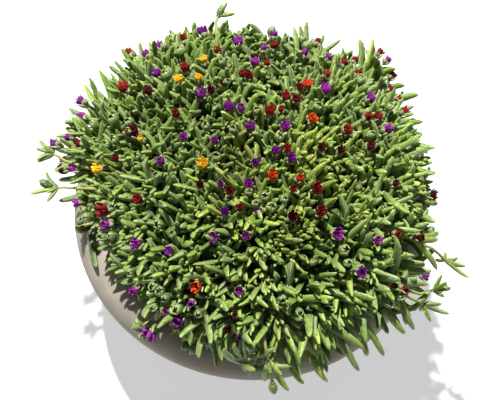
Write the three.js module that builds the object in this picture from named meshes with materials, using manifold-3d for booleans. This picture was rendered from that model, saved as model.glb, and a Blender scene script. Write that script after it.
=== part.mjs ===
// Potted ice plant: a broad round planter full of soil, nine clumps of fleshy finger leaves that
// close into one mound, and small brush-like blooms on the shoot tips.
// Millimetres, +Z up. The origin is on the pot's axis, on the plane that the pot stands on.

import * as THREE from 'three';
import { mergeVertices } from 'three/addons/utils/BufferGeometryUtils.js';
import Module from 'manifold-3d';

const wasm = await Module();
wasm.setup();

// Gaps between pieces that touch on the real thing.
const SEAT_GAP = 0.3;
const CLUMP_GAP = 0.4;

// Pot.
const POT_RADIUS = 135;
const POT_SEGMENTS = 32;
const RIM_TOP = 127.5;
const RIM_OPENING = 98;
const ROLL_CENTRE_RADIUS = 113;
const ROLL_CENTRE_HEIGHT = 108;
const ROLL_STEPS = 5;
const ROLL_END = 0.62 * Math.PI;
const LIP_BOTTOM = 103;
const LIP_UNDERCUT = 2;
const LIP_ROUND = 5;
const WALL_TOP_RADIUS = 121;
const FOOT_RADIUS = 88;
const FOOT_ROUND = 4;
const WALL = 6;
const FLOOR = 8;
const DRAIN_RADIUS = 6;
const DRAIN_CIRCLE = 50;
const DRAIN_COUNT = 4;
const DRAIN_SIDES = 8;

// Soil.
const SOIL_EDGE = 107;
const SOIL_CROWN = 111;
const SOIL_RADIUS = 91.5;
const SOIL_SEGMENTS = 16;
const SOIL_SEAT = SOIL_EDGE - 6;

// The mound that the leaf tips reach, and the smaller leafy core under it.
const MOUND = { x: 2, y: 1, z: 142, wide: 134, tall: 73, lobe: -0.05 };
const CORE_INSET = 23;
const CORE_BOTTOM = 131.5;
const CORE_SEGMENTS = 16;
const CORE_ROWS = [0, 0.3, 0.65, 1];
const CORE_CHAMFER = 6;
const ROOT_DEPTH = 9;
const SKIRT_ROOT = 137;
const RIM_ROOM = 1;
const SHOOT_LEAN = 0.13;

// Clumps: one in the middle and the others round it.
const RING_RADIUS = 92;
const STEM_RADIUS = 3.6;
const STEM_HOLE_RADIUS = 4.1;
const STEM_FOOT = 88;
const STEM_TOP = CORE_BOTTOM + 6;
const STEM_SIDES = 6;
const STEM_REACH = 0.8;
const CLUMP_NAMES = [
  'crown', 'right', 'back_right', 'back', 'back_left', 'left', 'front_left', 'front', 'front_right',
];

// Leaves: three-angled fingers.
const LEAF_SHORT = 31;
const LEAF_LONG = 40;
const LEAF_RADIUS = 3.5;
const LEAF_TIP_RADIUS = 0.6;
const INNER_ROOT_RADIUS = 3.3;
const LEAF_BELLY = 0.58;
const LEAF_BOW = 0.08;
const LEAF_BALL = 3.3;
const CUP_BALL = 2;
const BUD_BALL = 3.5;
const LEAF_CROSSING = 0.1;
const LEAF_ATTEMPTS = 15;
const LEAF_TURN = 0.4;
const LEAF_LIFT = 0.14;
const TURN_ORDER = [0, 1, -1, 2, -2];
const OUTER_SPREAD = 0.9;
const INNER_SPREAD = 0.36;
const GREEN_SHOOTS = 156;
const GREEN_LEAVES = 4;
const BLOOM_LEAVES = 2;
const SMALL_BLOOM_LEAVES = 1;
const SHOOT_CLEARANCE = 9;
const LEAF_REACH = 0.85;
const TIP_SCATTER = 4;
const LOWEST_SHOOT = -0.25;
const SHOOT_CROWDING = 1.4;

// Blooms and buds.
const PETALS = 6;
const SMALL_PETALS = 3;
const BLOOM_RADIUS = 4.1;
const BLOOM_HEIGHT = 7;
const BLOOM_FOOT = 2;
const BLOOM_ROOM = 0.7;
const BORDER_ROOM = 0.8;
const SMALL_BLOOM = 0.8;
const CUP_RADIUS = 3.4;
const CUP_SIDES = 4;
const CUP_SHARE = 0.7;
const TUFT_SHARE = 1.15;
const NOTCH_RADIUS = 0.66;
const NOTCH_HEIGHT = 0.6;
const HEART_HEIGHT = 0.42;
const BLOOM_MIDDLE = 0.6;
const CUP_GAP = SEAT_GAP + 0.05;
const BUD_RADIUS = 4.6;
const BUD_SHOULDER = 5.4;
const BUD_SIDES = 4;
const BUD_EVERY = 3;

// Where the reference picture, 500 x 400 pixels, was taken from. The aim is the middle of the rim.
const VIEW = { distance: 675, elevation: 63.68, focal: 883.1, roll: -6.08, u: 252.6, v: 204.2, aim: 112 };

// Blooms by their pixel in the reference picture. Each of these is a piece of its own.
const BLOOMS = {
  purple: [
    [143, 50], [157, 43], [155, 70], [77, 99], [78, 114], [208, 26], [238, 38], [255, 58], [200, 91],
    [229, 104], [250, 124], [286, 124], [327, 86], [390, 125], [373, 95], [159, 159], [103, 225],
    [133, 244], [207, 234], [246, 235], [339, 233], [364, 273], [176, 322], [146, 337],
  ],
  red: [
    [127, 49], [122, 85], [143, 93], [131, 130], [181, 35], [184, 64], [99, 205], [135, 198],
    [287, 93], [270, 108], [349, 125], [372, 117], [314, 183], [322, 210], [287, 217], [409, 109],
  ],
  orange: [[308, 81], [314, 116], [273, 174], [301, 176], [195, 288]],
  yellow: [[178, 76], [94, 167], [202, 162], [203, 56]],
};

// Blooms that are small in the picture, or close beside another, grown in one with their clump.
const SMALL_BLOOMS = [
  [264, 45], [274, 31], [305, 50], [241, 106], [330, 54], [390, 57], [64, 136], [50, 143], [70, 168],
  [72, 203], [183, 135], [214, 138], [276, 149], [292, 157], [256, 161], [220, 182], [249, 183],
  [224, 210], [259, 210], [168, 250], [380, 240], [429, 277], [131, 292], [164, 313], [190, 305],
  [239, 291], [240, 339], [222, 46], [274, 43], [319, 38], [267, 60], [238, 72], [245, 78],
  [225, 82], [212, 95], [175, 111], [297, 95], [298, 82], [281, 107], [328, 71], [346, 60],
  [357, 57], [360, 70], [382, 50], [395, 73], [393, 86], [403, 97], [382, 119], [327, 146],
  [342, 148], [372, 145], [113, 157], [62, 168], [288, 147], [297, 191], [200, 183], [240, 204],
  [398, 182], [437, 195], [400, 234], [423, 238], [235, 316], [227, 331], [397, 287], [407, 291],
  [69, 139], [229, 190], [198, 75], [139, 137],
];

// Long leaves at the outline, by the pixels of their root and tip.
const OUTLINE_LEAVES = [
  [[286, 366], [304, 384]], [[306, 358], [328, 382]], [[288, 335], [324, 363]], [[347, 350], [359, 371]],
  [[365, 338], [367, 356]], [[373, 332], [384, 356]], [[410, 301], [406, 325]], [[425, 241], [439, 232]],
  [[424, 242], [438, 239]], [[372, 66], [373, 38]], [[300, 48], [293, 26]], [[95, 112], [84, 84]],
  [[400, 160], [434, 146]], [[395, 150], [418, 138]], [[390, 300], [411, 316]], [[240, 350], [246, 372]],
];

// Stray shoots that stand out of the mound: the stem's pixels, its leaf tips and its bud's tip.
const STRAYS = [
  { stem: [[214, 40], [216, 22], [219, 15]], leaves: [[227, 2], [221, 4]], bud: [222, 8] },
  { stem: [[80, 168], [65, 161], [52, 153]], leaves: [[37, 161], [36, 149], [57, 138], [39, 140]] },
  { stem: [[90, 188], [72, 188], [56, 188]], leaves: [[30, 194], [46, 171]], bud: [38, 181] },
  { stem: [[415, 236], [428, 244], [442, 256]], leaves: [[461, 276], [468, 267]], bud: [452, 262] },
  { stem: [[398, 292], [411, 298], [424, 305]], leaves: [[450, 314]], bud: [431, 308] },
  { stem: [[398, 288], [414, 295], [431, 291]], leaves: [[452, 288]], bud: [440, 289] },
  { stem: [[262, 340], [267, 359], [273, 380]], leaves: [[265, 381], [289, 391]], bud: [276, 398] },
];
const STRAY_STEM_RADIUS = 1.3;
const STRAY_BUD_RADIUS = 3.2;
const STRAY_JOINT = 0.8;
const STRAY_ROOT = 2;

const GOLDEN_ANGLE = Math.PI * (3 - Math.sqrt(5));
const UP = new THREE.Vector3(0, 0, 1);

const POT_COLOUR = 0xb3a695;
const SOIL_COLOUR = 0x3a2d22;
const LEAF_COLOURS = [0x6f8a3c, 0x66833a, 0x748f42];
const PETAL_COLOURS = { purple: 0x7a2a86, red: 0x8c2a22, orange: 0xc9481f, yellow: 0xd8b63a };

// A number from 0 to 1 that is always the same for the same index and salt.
function chance(index, salt) {
  const spread = Math.sin(index * 12.9898 + salt * 78.233) * 43758.5453;
  return spread - Math.floor(spread);
}

function material(colour, roughness) {
  return new THREE.MeshStandardMaterial({ color: colour, roughness, metalness: 0 });
}

// Joins and cuts work on solids whose shared corners are merged.
function solidOf(geometry) {
  const bare = geometry.index ? geometry.toNonIndexed() : geometry.clone();
  bare.deleteAttribute('normal');
  bare.deleteAttribute('uv');
  const merged = mergeVertices(bare, 1e-4);
  const corners = merged.index.array;
  const kept = [];
  for (let i = 0; i < corners.length; i += 3) {
    const [a, b, c] = [corners[i], corners[i + 1], corners[i + 2]];
    if (a !== b && b !== c && c !== a) kept.push(a, b, c);
  }
  return new wasm.Manifold(new wasm.Mesh({
    numProp: 3,
    vertProperties: new Float32Array(merged.attributes.position.array),
    triVerts: new Uint32Array(kept),
  }));
}

function geometryOf(solid) {
  const mesh = solid.getMesh();
  const geometry = new THREE.BufferGeometry();
  geometry.setAttribute('position', new THREE.BufferAttribute(new Float32Array(mesh.vertProperties), 3));
  geometry.setIndex(new THREE.BufferAttribute(new Uint32Array(mesh.triVerts), 1));
  const flat = geometry.toNonIndexed();
  flat.computeVertexNormals();
  return flat;
}

function facesToSolid(points, faces) {
  const geometry = new THREE.BufferGeometry();
  geometry.setAttribute('position', new THREE.Float32BufferAttribute(points.flatMap((p) => p.toArray()), 3));
  geometry.setIndex(faces.flat());
  return solidOf(geometry);
}

// Two directions square to an axis. The first leans towards the hint.
function sideways(axis, hint) {
  const first = hint.clone().addScaledVector(axis, -hint.dot(axis));
  if (first.length() < 1e-3) first.set(1, 0, 0).addScaledVector(axis, -axis.x);
  first.normalize();
  return [first, new THREE.Vector3().crossVectors(axis, first)];
}

function ring(centre, axis, hint, radius, sides) {
  const [first, second] = sideways(axis, hint);
  const points = [];
  for (let i = 0; i < sides; i += 1) {
    const turn = (2 * Math.PI * i) / sides;
    points.push(centre.clone()
      .addScaledVector(first, radius * Math.cos(turn))
      .addScaledVector(second, radius * Math.sin(turn)));
  }
  return points;
}

// Faces between two rings of points, given by the index of each ring's first point and its size.
function band(low, lowSize, high, highSize) {
  const faces = [];
  const sides = Math.max(lowSize, highSize);
  for (let i = 0; i < sides; i += 1) {
    const next = (i + 1) % sides;
    if (lowSize === 1) {
      faces.push([low, high + next, high + i]);
    } else if (highSize === 1) {
      faces.push([low + i, low + next, high]);
    } else {
      faces.push([low + i, low + next, high + next], [low + i, high + next, high + i]);
    }
  }
  return faces;
}

// Faces that close a ring of points. A ring of one point needs none.
function lid(start, size, upward) {
  const faces = [];
  for (let i = 1; i < size - 1; i += 1) {
    faces.push(upward ? [start, start + i, start + i + 1] : [start, start + i + 1, start + i]);
  }
  return faces;
}

// A closed skin over rings with the same number of points. Either end may be a single point.
function skin(rings) {
  const faces = lid(0, rings[0].length, false);
  let low = 0;
  for (let level = 1; level < rings.length; level += 1) {
    const high = low + rings[level - 1].length;
    faces.push(...band(low, rings[level - 1].length, high, rings[level].length));
    low = high;
  }
  faces.push(...lid(low, rings[rings.length - 1].length, true));
  return facesToSolid(rings.flat(), faces);
}

// A revolved shape from a profile of (radius, height) points that starts and ends on the axis.
function revolve(profile, segments) {
  const geometry = new THREE.LatheGeometry(profile, segments);
  geometry.rotateX(Math.PI / 2);
  return geometry;
}

// The biggest body of a joined or cut solid: a loose scrap or a sealed hollow falls away.
function largest(solid) {
  const bodies = solid.decompose();
  return bodies.reduce((best, body) => (body.volume() > best.volume() ? body : best));
}

function join(solids) {
  return solids.reduce((whole, solid) => whole.add(solid));
}

// Mound geometry.

function moundRadius(azimuth, inset) {
  return MOUND.wide * (1 + MOUND.lobe * Math.sin(2 * azimuth)) - inset;
}

function moundPoint(azimuth, latitude, inset) {
  const reach = moundRadius(azimuth, inset) * Math.cos(latitude);
  return new THREE.Vector3(
    MOUND.x + reach * Math.cos(azimuth),
    MOUND.y + reach * Math.sin(azimuth),
    MOUND.z + (MOUND.tall - inset) * Math.sin(latitude),
  );
}

function moundAngles(point) {
  const dx = point.x - MOUND.x;
  const dy = point.y - MOUND.y;
  const azimuth = Math.atan2(dy, dx);
  const reach = Math.hypot(dx, dy) / moundRadius(azimuth, 0);
  return { azimuth, latitude: Math.atan2((point.z - MOUND.z) / MOUND.tall, reach) };
}

// The place on the mound that a picture pixel shows, or the nearest to it along that line of sight.
function seen([u, v]) {
  const elevation = THREE.MathUtils.degToRad(VIEW.elevation);
  const roll = THREE.MathUtils.degToRad(VIEW.roll);
  const back = new THREE.Vector3(0, -Math.cos(elevation), Math.sin(elevation));
  const right = new THREE.Vector3(1, 0, 0);
  const above = new THREE.Vector3().crossVectors(back, right);
  const du = u - VIEW.u;
  const dv = v - VIEW.v;
  const sight = back.clone().multiplyScalar(-VIEW.focal)
    .addScaledVector(right, du * Math.cos(roll) - dv * Math.sin(roll))
    .addScaledVector(above, -du * Math.sin(roll) - dv * Math.cos(roll));
  const eye = back.clone().multiplyScalar(VIEW.distance);
  eye.z += VIEW.aim;
  let wide = MOUND.wide;
  let place = eye;
  for (let pass = 0; pass < 4; pass += 1) {
    const size = new THREE.Vector3(wide, wide, MOUND.tall);
    const from = eye.clone().sub(new THREE.Vector3(MOUND.x, MOUND.y, MOUND.z)).divide(size);
    const along = sight.clone().divide(size);
    const middle = -from.dot(along) / along.lengthSq();
    const miss = from.clone().addScaledVector(along, middle).lengthSq();
    const half = Math.sqrt(Math.max(0, 1 - miss) / along.lengthSq());
    place = eye.clone().addScaledVector(sight, middle - half);
    wide = moundRadius(moundAngles(place).azimuth, 0);
  }
  return place;
}

// Clumps share the plan between them: each keeps to the places nearest its own centre.

function clumpCentre(clump) {
  if (clump === 0) return new THREE.Vector2(0, 0);
  const turn = ((clump - 1) * 2 * Math.PI) / (CLUMP_NAMES.length - 1);
  return new THREE.Vector2(RING_RADIUS * Math.cos(turn), RING_RADIUS * Math.sin(turn));
}

const CENTRES = CLUMP_NAMES.map((_, clump) => clumpCentre(clump));

function clumpAt(point) {
  const plan = new THREE.Vector2(point.x, point.y);
  const far = CENTRES.map((centre) => centre.distanceTo(plan));
  return far.indexOf(Math.min(...far));
}

// Moves a point into its clump's share of the plan, with room for a radius round it.
function keepIn(point, clump, radius) {
  const room = radius + CLUMP_GAP / 2;
  for (let pass = 0; pass < 3; pass += 1) {
    CENTRES.forEach((other, index) => {
      if (index === clump) return;
      const inward = CENTRES[clump].clone().sub(other);
      const middle = CENTRES[clump].clone().add(other).multiplyScalar(0.5);
      inward.normalize();
      const depth = (point.x - middle.x) * inward.x + (point.y - middle.y) * inward.y;
      if (depth < room) {
        point.x += inward.x * (room - depth);
        point.y += inward.y * (room - depth);
      }
    });
  }
  return point;
}

// The clump's share of the plan as an upright solid, cut from a wide block by its neighbours.
function cellOutline(clump) {
  const reach = 2 * MOUND.wide;
  let outline = [[-reach, -reach], [reach, -reach], [reach, reach], [-reach, reach]]
    .map(([x, y]) => new THREE.Vector2(x, y));
  CENTRES.forEach((other, index) => {
    if (index === clump) return;
    const inward = CENTRES[clump].clone().sub(other).normalize();
    const middle = CENTRES[clump].clone().add(other).multiplyScalar(0.5);
    const depth = (p) => p.clone().sub(middle).dot(inward) - CLUMP_GAP / 2;
    const cut = [];
    outline.forEach((from, i) => {
      const to = outline[(i + 1) % outline.length];
      const [a, b] = [depth(from), depth(to)];
      if (a >= 0) cut.push(from);
      if ((a >= 0) !== (b >= 0)) cut.push(from.clone().lerp(to, a / (a - b)));
    });
    outline = cut;
  });
  return outline;
}

// Pot, soil and cores.

function potSolid() {
  const outside = new THREE.Path();
  outside.moveTo(0, 0);
  outside.lineTo(FOOT_RADIUS - FOOT_ROUND, 0);
  outside.lineTo(FOOT_RADIUS, FOOT_ROUND);
  outside.lineTo(WALL_TOP_RADIUS, LIP_BOTTOM - LIP_UNDERCUT);
  outside.lineTo(POT_RADIUS - LIP_ROUND, LIP_BOTTOM);
  outside.lineTo(POT_RADIUS - 0.12 * LIP_ROUND, LIP_BOTTOM + 0.3 * LIP_ROUND);
  const roll = new THREE.EllipseCurve(
    ROLL_CENTRE_RADIUS, ROLL_CENTRE_HEIGHT,
    POT_RADIUS - ROLL_CENTRE_RADIUS, RIM_TOP - ROLL_CENTRE_HEIGHT,
    0, ROLL_END,
  );
  const inside = [
    [RIM_OPENING, RIM_TOP - 8],
    [SOIL_RADIUS + SEAT_GAP, SOIL_SEAT],
    [FOOT_RADIUS - WALL, FLOOR + FOOT_ROUND],
    [FOOT_RADIUS - WALL - FOOT_ROUND, FLOOR],
    [0, FLOOR],
  ].map(([radius, height]) => new THREE.Vector2(radius, height));
  const profile = [...outside.getPoints(1), ...roll.getPoints(ROLL_STEPS), ...inside];
  let pot = solidOf(revolve(profile, POT_SEGMENTS));
  for (let i = 0; i < DRAIN_COUNT; i += 1) {
    const turn = (2 * Math.PI * (i + 0.5)) / DRAIN_COUNT;
    const drill = new THREE.CylinderGeometry(DRAIN_RADIUS, DRAIN_RADIUS, 4 * FLOOR, DRAIN_SIDES);
    drill.rotateX(Math.PI / 2);
    drill.translate(DRAIN_CIRCLE * Math.cos(turn), DRAIN_CIRCLE * Math.sin(turn), 0);
    pot = pot.subtract(solidOf(drill));
  }
  return pot;
}

function soilSolid() {
  const profile = [
    [0, FLOOR + SEAT_GAP],
    [FOOT_RADIUS - WALL - FOOT_ROUND - SEAT_GAP, FLOOR + SEAT_GAP],
    [FOOT_RADIUS - WALL - SEAT_GAP, FLOOR + FOOT_ROUND + SEAT_GAP],
    [SOIL_RADIUS, SOIL_SEAT],
    [SOIL_RADIUS + 1, SOIL_EDGE],
    [SOIL_RADIUS * 0.7, SOIL_CROWN - 1.2],
    [0, SOIL_CROWN],
  ].map(([radius, height]) => new THREE.Vector2(radius, height));
  let soil = solidOf(revolve(profile, SOIL_SEGMENTS));
  CENTRES.forEach((centre) => {
    soil = soil.subtract(stemSolid(centre, STEM_HOLE_RADIUS, STEM_FOOT - SEAT_GAP));
  });
  return soil;
}

// An upright stem, or its hole. It stands nearer the pot's axis than its clump's centre.
function stemSolid(centre, radius, foot) {
  const stem = new THREE.CylinderGeometry(radius, radius, STEM_TOP - foot, STEM_SIDES);
  stem.rotateX(Math.PI / 2);
  stem.translate(centre.x * STEM_REACH, centre.y * STEM_REACH, (STEM_TOP + foot) / 2);
  return solidOf(stem);
}

// The leafy mass inside the mound, as one revolved solid that the clumps share out.
function coreSolid() {
  const profile = [
    new THREE.Vector2(0, CORE_BOTTOM),
    new THREE.Vector2(MOUND.wide - CORE_INSET - CORE_CHAMFER, CORE_BOTTOM),
  ];
  CORE_ROWS.forEach((row) => {
    const latitude = (row * Math.PI) / 2;
    profile.push(new THREE.Vector2(
      (MOUND.wide - CORE_INSET) * Math.cos(latitude),
      MOUND.z + (MOUND.tall - CORE_INSET) * Math.sin(latitude),
    ));
  });
  profile[profile.length - 1].x = 0;
  const geometry = revolve(profile, CORE_SEGMENTS);
  const places = geometry.attributes.position;
  for (let i = 0; i < places.count; i += 1) {
    const azimuth = Math.atan2(places.getY(i), places.getX(i));
    const lobe = moundRadius(azimuth, 0) / MOUND.wide;
    places.setXY(i, MOUND.x + places.getX(i) * lobe, MOUND.y + places.getY(i) * lobe);
  }
  return solidOf(geometry);
}

function cellSolid(clump) {
  const block = new THREE.ExtrudeGeometry(new THREE.Shape(cellOutline(clump)), {
    depth: 2 * MOUND.tall, bevelEnabled: false,
  });
  block.translate(0, 0, CORE_BOTTOM - CORE_CHAMFER);
  return solidOf(block);
}

// Shoots. Each has a tip on the mound, a base inside the core and the direction it grows in.

function shootTo(tip) {
  const { azimuth, latitude } = moundAngles(tip);
  const clump = clumpAt(tip);
  const lean = SHOOT_LEAN * Math.cos(latitude);
  const base = moundPoint(azimuth, Math.max(latitude, 0) - lean, CORE_INSET + ROOT_DEPTH);
  base.z = Math.max(base.z, SKIRT_ROOT);
  keepIn(base, clump, INNER_ROOT_RADIUS);
  return { tip, base, clump, growth: tip.clone().sub(base).normalize() };
}

// A bloom's shoot stands clear of the rim, of its clump's borders and of the blooms before it.
function bloomShoot(pixel, radius, earlier) {
  const shoot = shootTo(seen(pixel));
  const { tip } = shoot;
  for (let pass = 0; pass < 5; pass += 1) {
    earlier.forEach((other) => {
      const away = tip.clone().sub(other.tip);
      const short = radius + other.radius + BLOOM_ROOM - away.length();
      if (short > 0) tip.addScaledVector(away.normalize(), short);
    });
    overRim(shoot.base, tip, radius * CUP_SHARE, radius * TUFT_SHARE);
    keepIn(tip, shoot.clump, radius + BORDER_ROOM);
  }
  shoot.growth = tip.clone().sub(shoot.base).normalize();
  return shoot;
}

function greenShoots(taken) {
  const shoots = [];
  for (let i = 0; i < GREEN_SHOOTS; i += 1) {
    const share = (i + 0.5) / GREEN_SHOOTS;
    const height = 1 - (1 - LOWEST_SHOOT) * share ** SHOOT_CROWDING;
    const tip = moundPoint(i * GOLDEN_ANGLE, Math.asin(height), TIP_SCATTER * chance(i, 1));
    const crowded = taken.some((place) => place.distanceTo(tip) < SHOOT_CLEARANCE);
    if (!crowded) shoots.push({ ...shootTo(tip), index: i, budding: i % BUD_EVERY === 0 });
  }
  return shoots;
}

// Keeps a leaf's point out of every bloom's room.
function clearOf(point, blooms, radius) {
  blooms.forEach((bloom) => {
    const away = point.clone().sub(bloom.middle);
    const room = bloom.radius + radius;
    if (away.length() < room) point.addScaledVector(away.normalize(), room - away.length());
  });
  return point;
}

// Height of the rim's top at a distance from the axis.
function rimHeight(reach) {
  const across = (reach - ROLL_CENTRE_RADIUS) / (POT_RADIUS - ROLL_CENTRE_RADIUS);
  if (across > 1.2) return 0;
  const rise = Math.sqrt(Math.max(0, 1 - across * across));
  return ROLL_CENTRE_HEIGHT + (RIM_TOP - ROLL_CENTRE_HEIGHT) * rise;
}

// Lifts the far end of a stretch until the stretch passes over the rim.
function overRim(from, to, fromRadius, toRadius) {
  [0.25, 0.5, 0.75, 1].forEach((share) => {
    const place = from.clone().lerp(to, share);
    const radius = THREE.MathUtils.lerp(fromRadius, toRadius, share);
    const short = rimHeight(Math.hypot(place.x, place.y)) + radius + RIM_ROOM - place.z;
    if (short > 0) to.z += short / share;
  });
}

// A leaf's plan: its root, belly and tip, with its keel turned away from the shoot.
function leafPlan(root, tip, keel, clump, blooms) {
  const along = tip.clone().sub(root);
  const length = along.length();
  const belly = root.clone().addScaledVector(along, LEAF_BELLY).addScaledVector(keel, LEAF_BOW * length);
  clearOf(belly, blooms, LEAF_RADIUS);
  overRim(root, belly, 0, LEAF_RADIUS);
  keepIn(belly, clump, LEAF_RADIUS);
  clearOf(tip, blooms, LEAF_TIP_RADIUS);
  overRim(belly, tip, LEAF_RADIUS, LEAF_TIP_RADIUS);
  keepIn(tip, clump, LEAF_TIP_RADIUS);
  return { root, belly, tip, keel };
}

// A three-angled finger leaf. The young ones in the middle of a shoot taper all the way.
function leafSolid({ root, belly, tip, keel }, young) {
  const along = tip.clone().sub(root).normalize();
  if (young) return skin([ring(root, along, keel, INNER_ROOT_RADIUS, 3), [tip]]);
  return skin([[root], ring(belly, along, keel, LEAF_RADIUS, 3), [tip]]);
}

// Balls along a leaf that show how near it comes to its neighbours.
function leafBalls({ root, belly, tip }) {
  return [
    { centre: root.clone().lerp(belly, 0.55), radius: LEAF_BALL * 0.85 },
    { centre: belly, radius: LEAF_BALL },
    { centre: belly.clone().lerp(tip, 0.5), radius: LEAF_BALL * 0.55 },
    { centre: tip, radius: LEAF_TIP_RADIUS },
  ];
}

function roomBetween(balls, others) {
  let room = Infinity;
  balls.forEach((ball) => {
    others.forEach((other) => {
      room = Math.min(room, ball.centre.distanceTo(other.centre) - ball.radius - other.radius);
    });
  });
  return room;
}

// Opposite pairs of leaves round a shoot, each pair a quarter turn on from the last. A leaf that
// would cross another turns aside or leans in, and one with no room is left out.
function growLeaves(shoot, index, count, blooms) {
  const { parts, balls } = growths[shoot.clump];
  const [first, second] = sideways(shoot.growth, UP);
  const start = chance(index, 2) * Math.PI;
  const reach = shoot.tip.distanceTo(shoot.base);
  for (let k = 0; k < count; k += 1) {
    const pair = Math.floor(k / 2);
    const length = Math.max(
      LEAF_SHORT + (LEAF_LONG - LEAF_SHORT) * chance(index, 30 + k),
      reach * LEAF_REACH,
    );
    let best = null;
    for (let attempt = 0; attempt < LEAF_ATTEMPTS; attempt += 1) {
      const aside = LEAF_TURN * TURN_ORDER[attempt % TURN_ORDER.length];
      const turn = start + k * Math.PI + pair * (Math.PI / 2) + aside;
      const spread = (pair === 0 ? OUTER_SPREAD : INNER_SPREAD) - LEAF_LIFT * Math.floor(attempt / TURN_ORDER.length);
      const keel = first.clone().multiplyScalar(Math.cos(turn)).addScaledVector(second, Math.sin(turn));
      const tip = shoot.base.clone()
        .addScaledVector(shoot.growth, length * Math.cos(spread))
        .addScaledVector(keel, length * Math.sin(spread));
      const plan = leafPlan(shoot.base, tip, keel, shoot.clump, blooms);
      const room = roomBetween(leafBalls(plan), balls);
      if (!best || room > best.room) best = { plan, room };
      if (room > 0) break;
    }
    if (best.room > -LEAF_CROSSING) {
      parts.push(leafSolid(best.plan, pair > 0));
      balls.push(...leafBalls(best.plan));
    }
  }
}

// A half-open bloom on the rings below it: pointed petals and notches round a hollow heart.
function tuftSolid(rings, { foot, growth, radius, height }) {
  const petals = rings[rings.length - 1].length;
  const points = rings.flat();
  const faces = lid(0, rings[0].length, false);
  if (rings.length === 2) faces.push(...band(0, rings[0].length, rings[0].length, petals));
  const [first, second] = sideways(growth, UP);
  for (let i = 0; i < 2 * petals; i += 1) {
    const turn = (Math.PI * i) / petals;
    const inner = i % 2 === 1;
    points.push(foot.clone()
      .addScaledVector(growth, height * (inner ? NOTCH_HEIGHT : 1))
      .addScaledVector(first, radius * (inner ? NOTCH_RADIUS : 1) * Math.cos(turn))
      .addScaledVector(second, radius * (inner ? NOTCH_RADIUS : 1) * Math.sin(turn)));
  }
  points.push(foot.clone().addScaledVector(growth, height * HEART_HEIGHT));
  const heart = points.length - 1;
  const crown = heart - 2 * petals;
  const upper = crown - petals;
  for (let i = 0; i < petals; i += 1) {
    const next = (i + 1) % petals;
    const petal = crown + 2 * i;
    const notch = petal + 1;
    const nextPetal = crown + 2 * next;
    faces.push([upper + i, upper + next, notch], [upper + i, notch, petal]);
    faces.push([upper + next, nextPetal, notch], [petal, notch, heart], [notch, nextPetal, heart]);
  }
  return facesToSolid(points, faces);
}

// The green cup that carries a bloom's own piece.
function cupSolid(bloom) {
  const top = bloom.foot.clone().addScaledVector(bloom.growth, -CUP_GAP);
  return skin([[bloom.base], ring(top, bloom.growth, UP, CUP_RADIUS, CUP_SIDES)]);
}

// A small bloom in one with its cup and stalk.
function smallBloomSolid(bloom) {
  const cup = ring(bloom.foot, bloom.growth, UP, CUP_RADIUS * SMALL_BLOOM, SMALL_PETALS);
  return tuftSolid([[bloom.base], cup], bloom);
}

// A shoot's tip as a green bud, closed over a point.
function budSolid(base, top, radius) {
  const growth = top.clone().sub(base).normalize();
  const shoulder = top.clone().addScaledVector(growth, -BUD_SHOULDER);
  return skin([[base], ring(shoulder, growth, UP, radius, BUD_SIDES), [top]]);
}

function strayParts(stray, blooms) {
  const stem = stray.stem.map(seen);
  const clump = clumpAt(stem[0]);
  const start = shootTo(stem[0]).base;
  const route = [start, ...stem.slice(1)].map((p) => keepIn(p, clump, 2 * STRAY_STEM_RADIUS));
  for (let i = 1; i < route.length; i += 1) {
    overRim(route[i - 1], route[i], STRAY_STEM_RADIUS, STRAY_STEM_RADIUS);
  }
  const parts = [];
  for (let i = 1; i < route.length; i += 1) {
    const along = route[i].clone().sub(route[i - 1]).normalize();
    const from = route[i - 1].clone().addScaledVector(along, i === 1 ? 0 : -STRAY_JOINT);
    parts.push(skin([
      ring(from, along, UP, STRAY_STEM_RADIUS, 4),
      ring(route[i], along, UP, STRAY_STEM_RADIUS, 4),
    ]));
  }
  const end = route[route.length - 1];
  const growth = end.clone().sub(route[route.length - 2]).normalize();
  const tips = stray.leaves.map(seen);
  tips.forEach((tip) => {
    const away = tip.clone().sub(end);
    const [keel] = sideways(away.clone().normalize(), growth.clone().negate());
    const root = end.clone().addScaledVector(growth, -STRAY_ROOT);
    parts.push(leafSolid(leafPlan(root, tip, keel, clump, blooms), false));
  });
  if (stray.bud) {
    const top = keepIn(seen(stray.bud), clump, 1);
    overRim(end, top, STRAY_BUD_RADIUS, 1);
    const lean = top.clone().sub(end).normalize();
    parts.push(budSolid(end.clone().addScaledVector(lean, -STRAY_ROOT), top, STRAY_BUD_RADIUS));
  }
  return { clump, parts };
}

// Builds every bloom's place first, so that leaves can keep clear of them all.

const blooms = [];

function addBloom(pixel, colour, name) {
  const own = name !== null;
  const size = own ? 1 : SMALL_BLOOM;
  const radius = BLOOM_RADIUS * size;
  const height = BLOOM_HEIGHT * size;
  const shoot = bloomShoot(pixel, radius, blooms);
  const foot = shoot.tip.clone().addScaledVector(shoot.growth, -height);
  const middle = foot.clone().addScaledVector(shoot.growth, height * BLOOM_MIDDLE);
  blooms.push({ ...shoot, name, colour, radius, height, foot, middle, own });
}

Object.entries(BLOOMS).forEach(([colour, pixels]) => {
  pixels.forEach((pixel, i) => {
    addBloom(pixel, colour, `bloom_${colour}_${String(i + 1).padStart(2, '0')}`);
  });
});
SMALL_BLOOMS.forEach((pixel) => addBloom(pixel, null, null));

const growths = CLUMP_NAMES.map(() => ({ parts: [], balls: [] }));

blooms.forEach((bloom) => {
  const { parts, balls } = growths[bloom.clump];
  parts.push(bloom.own ? cupSolid(bloom) : smallBloomSolid(bloom));
  balls.push({ centre: bloom.base.clone().lerp(bloom.foot, 0.7), radius: CUP_BALL });
});

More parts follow.
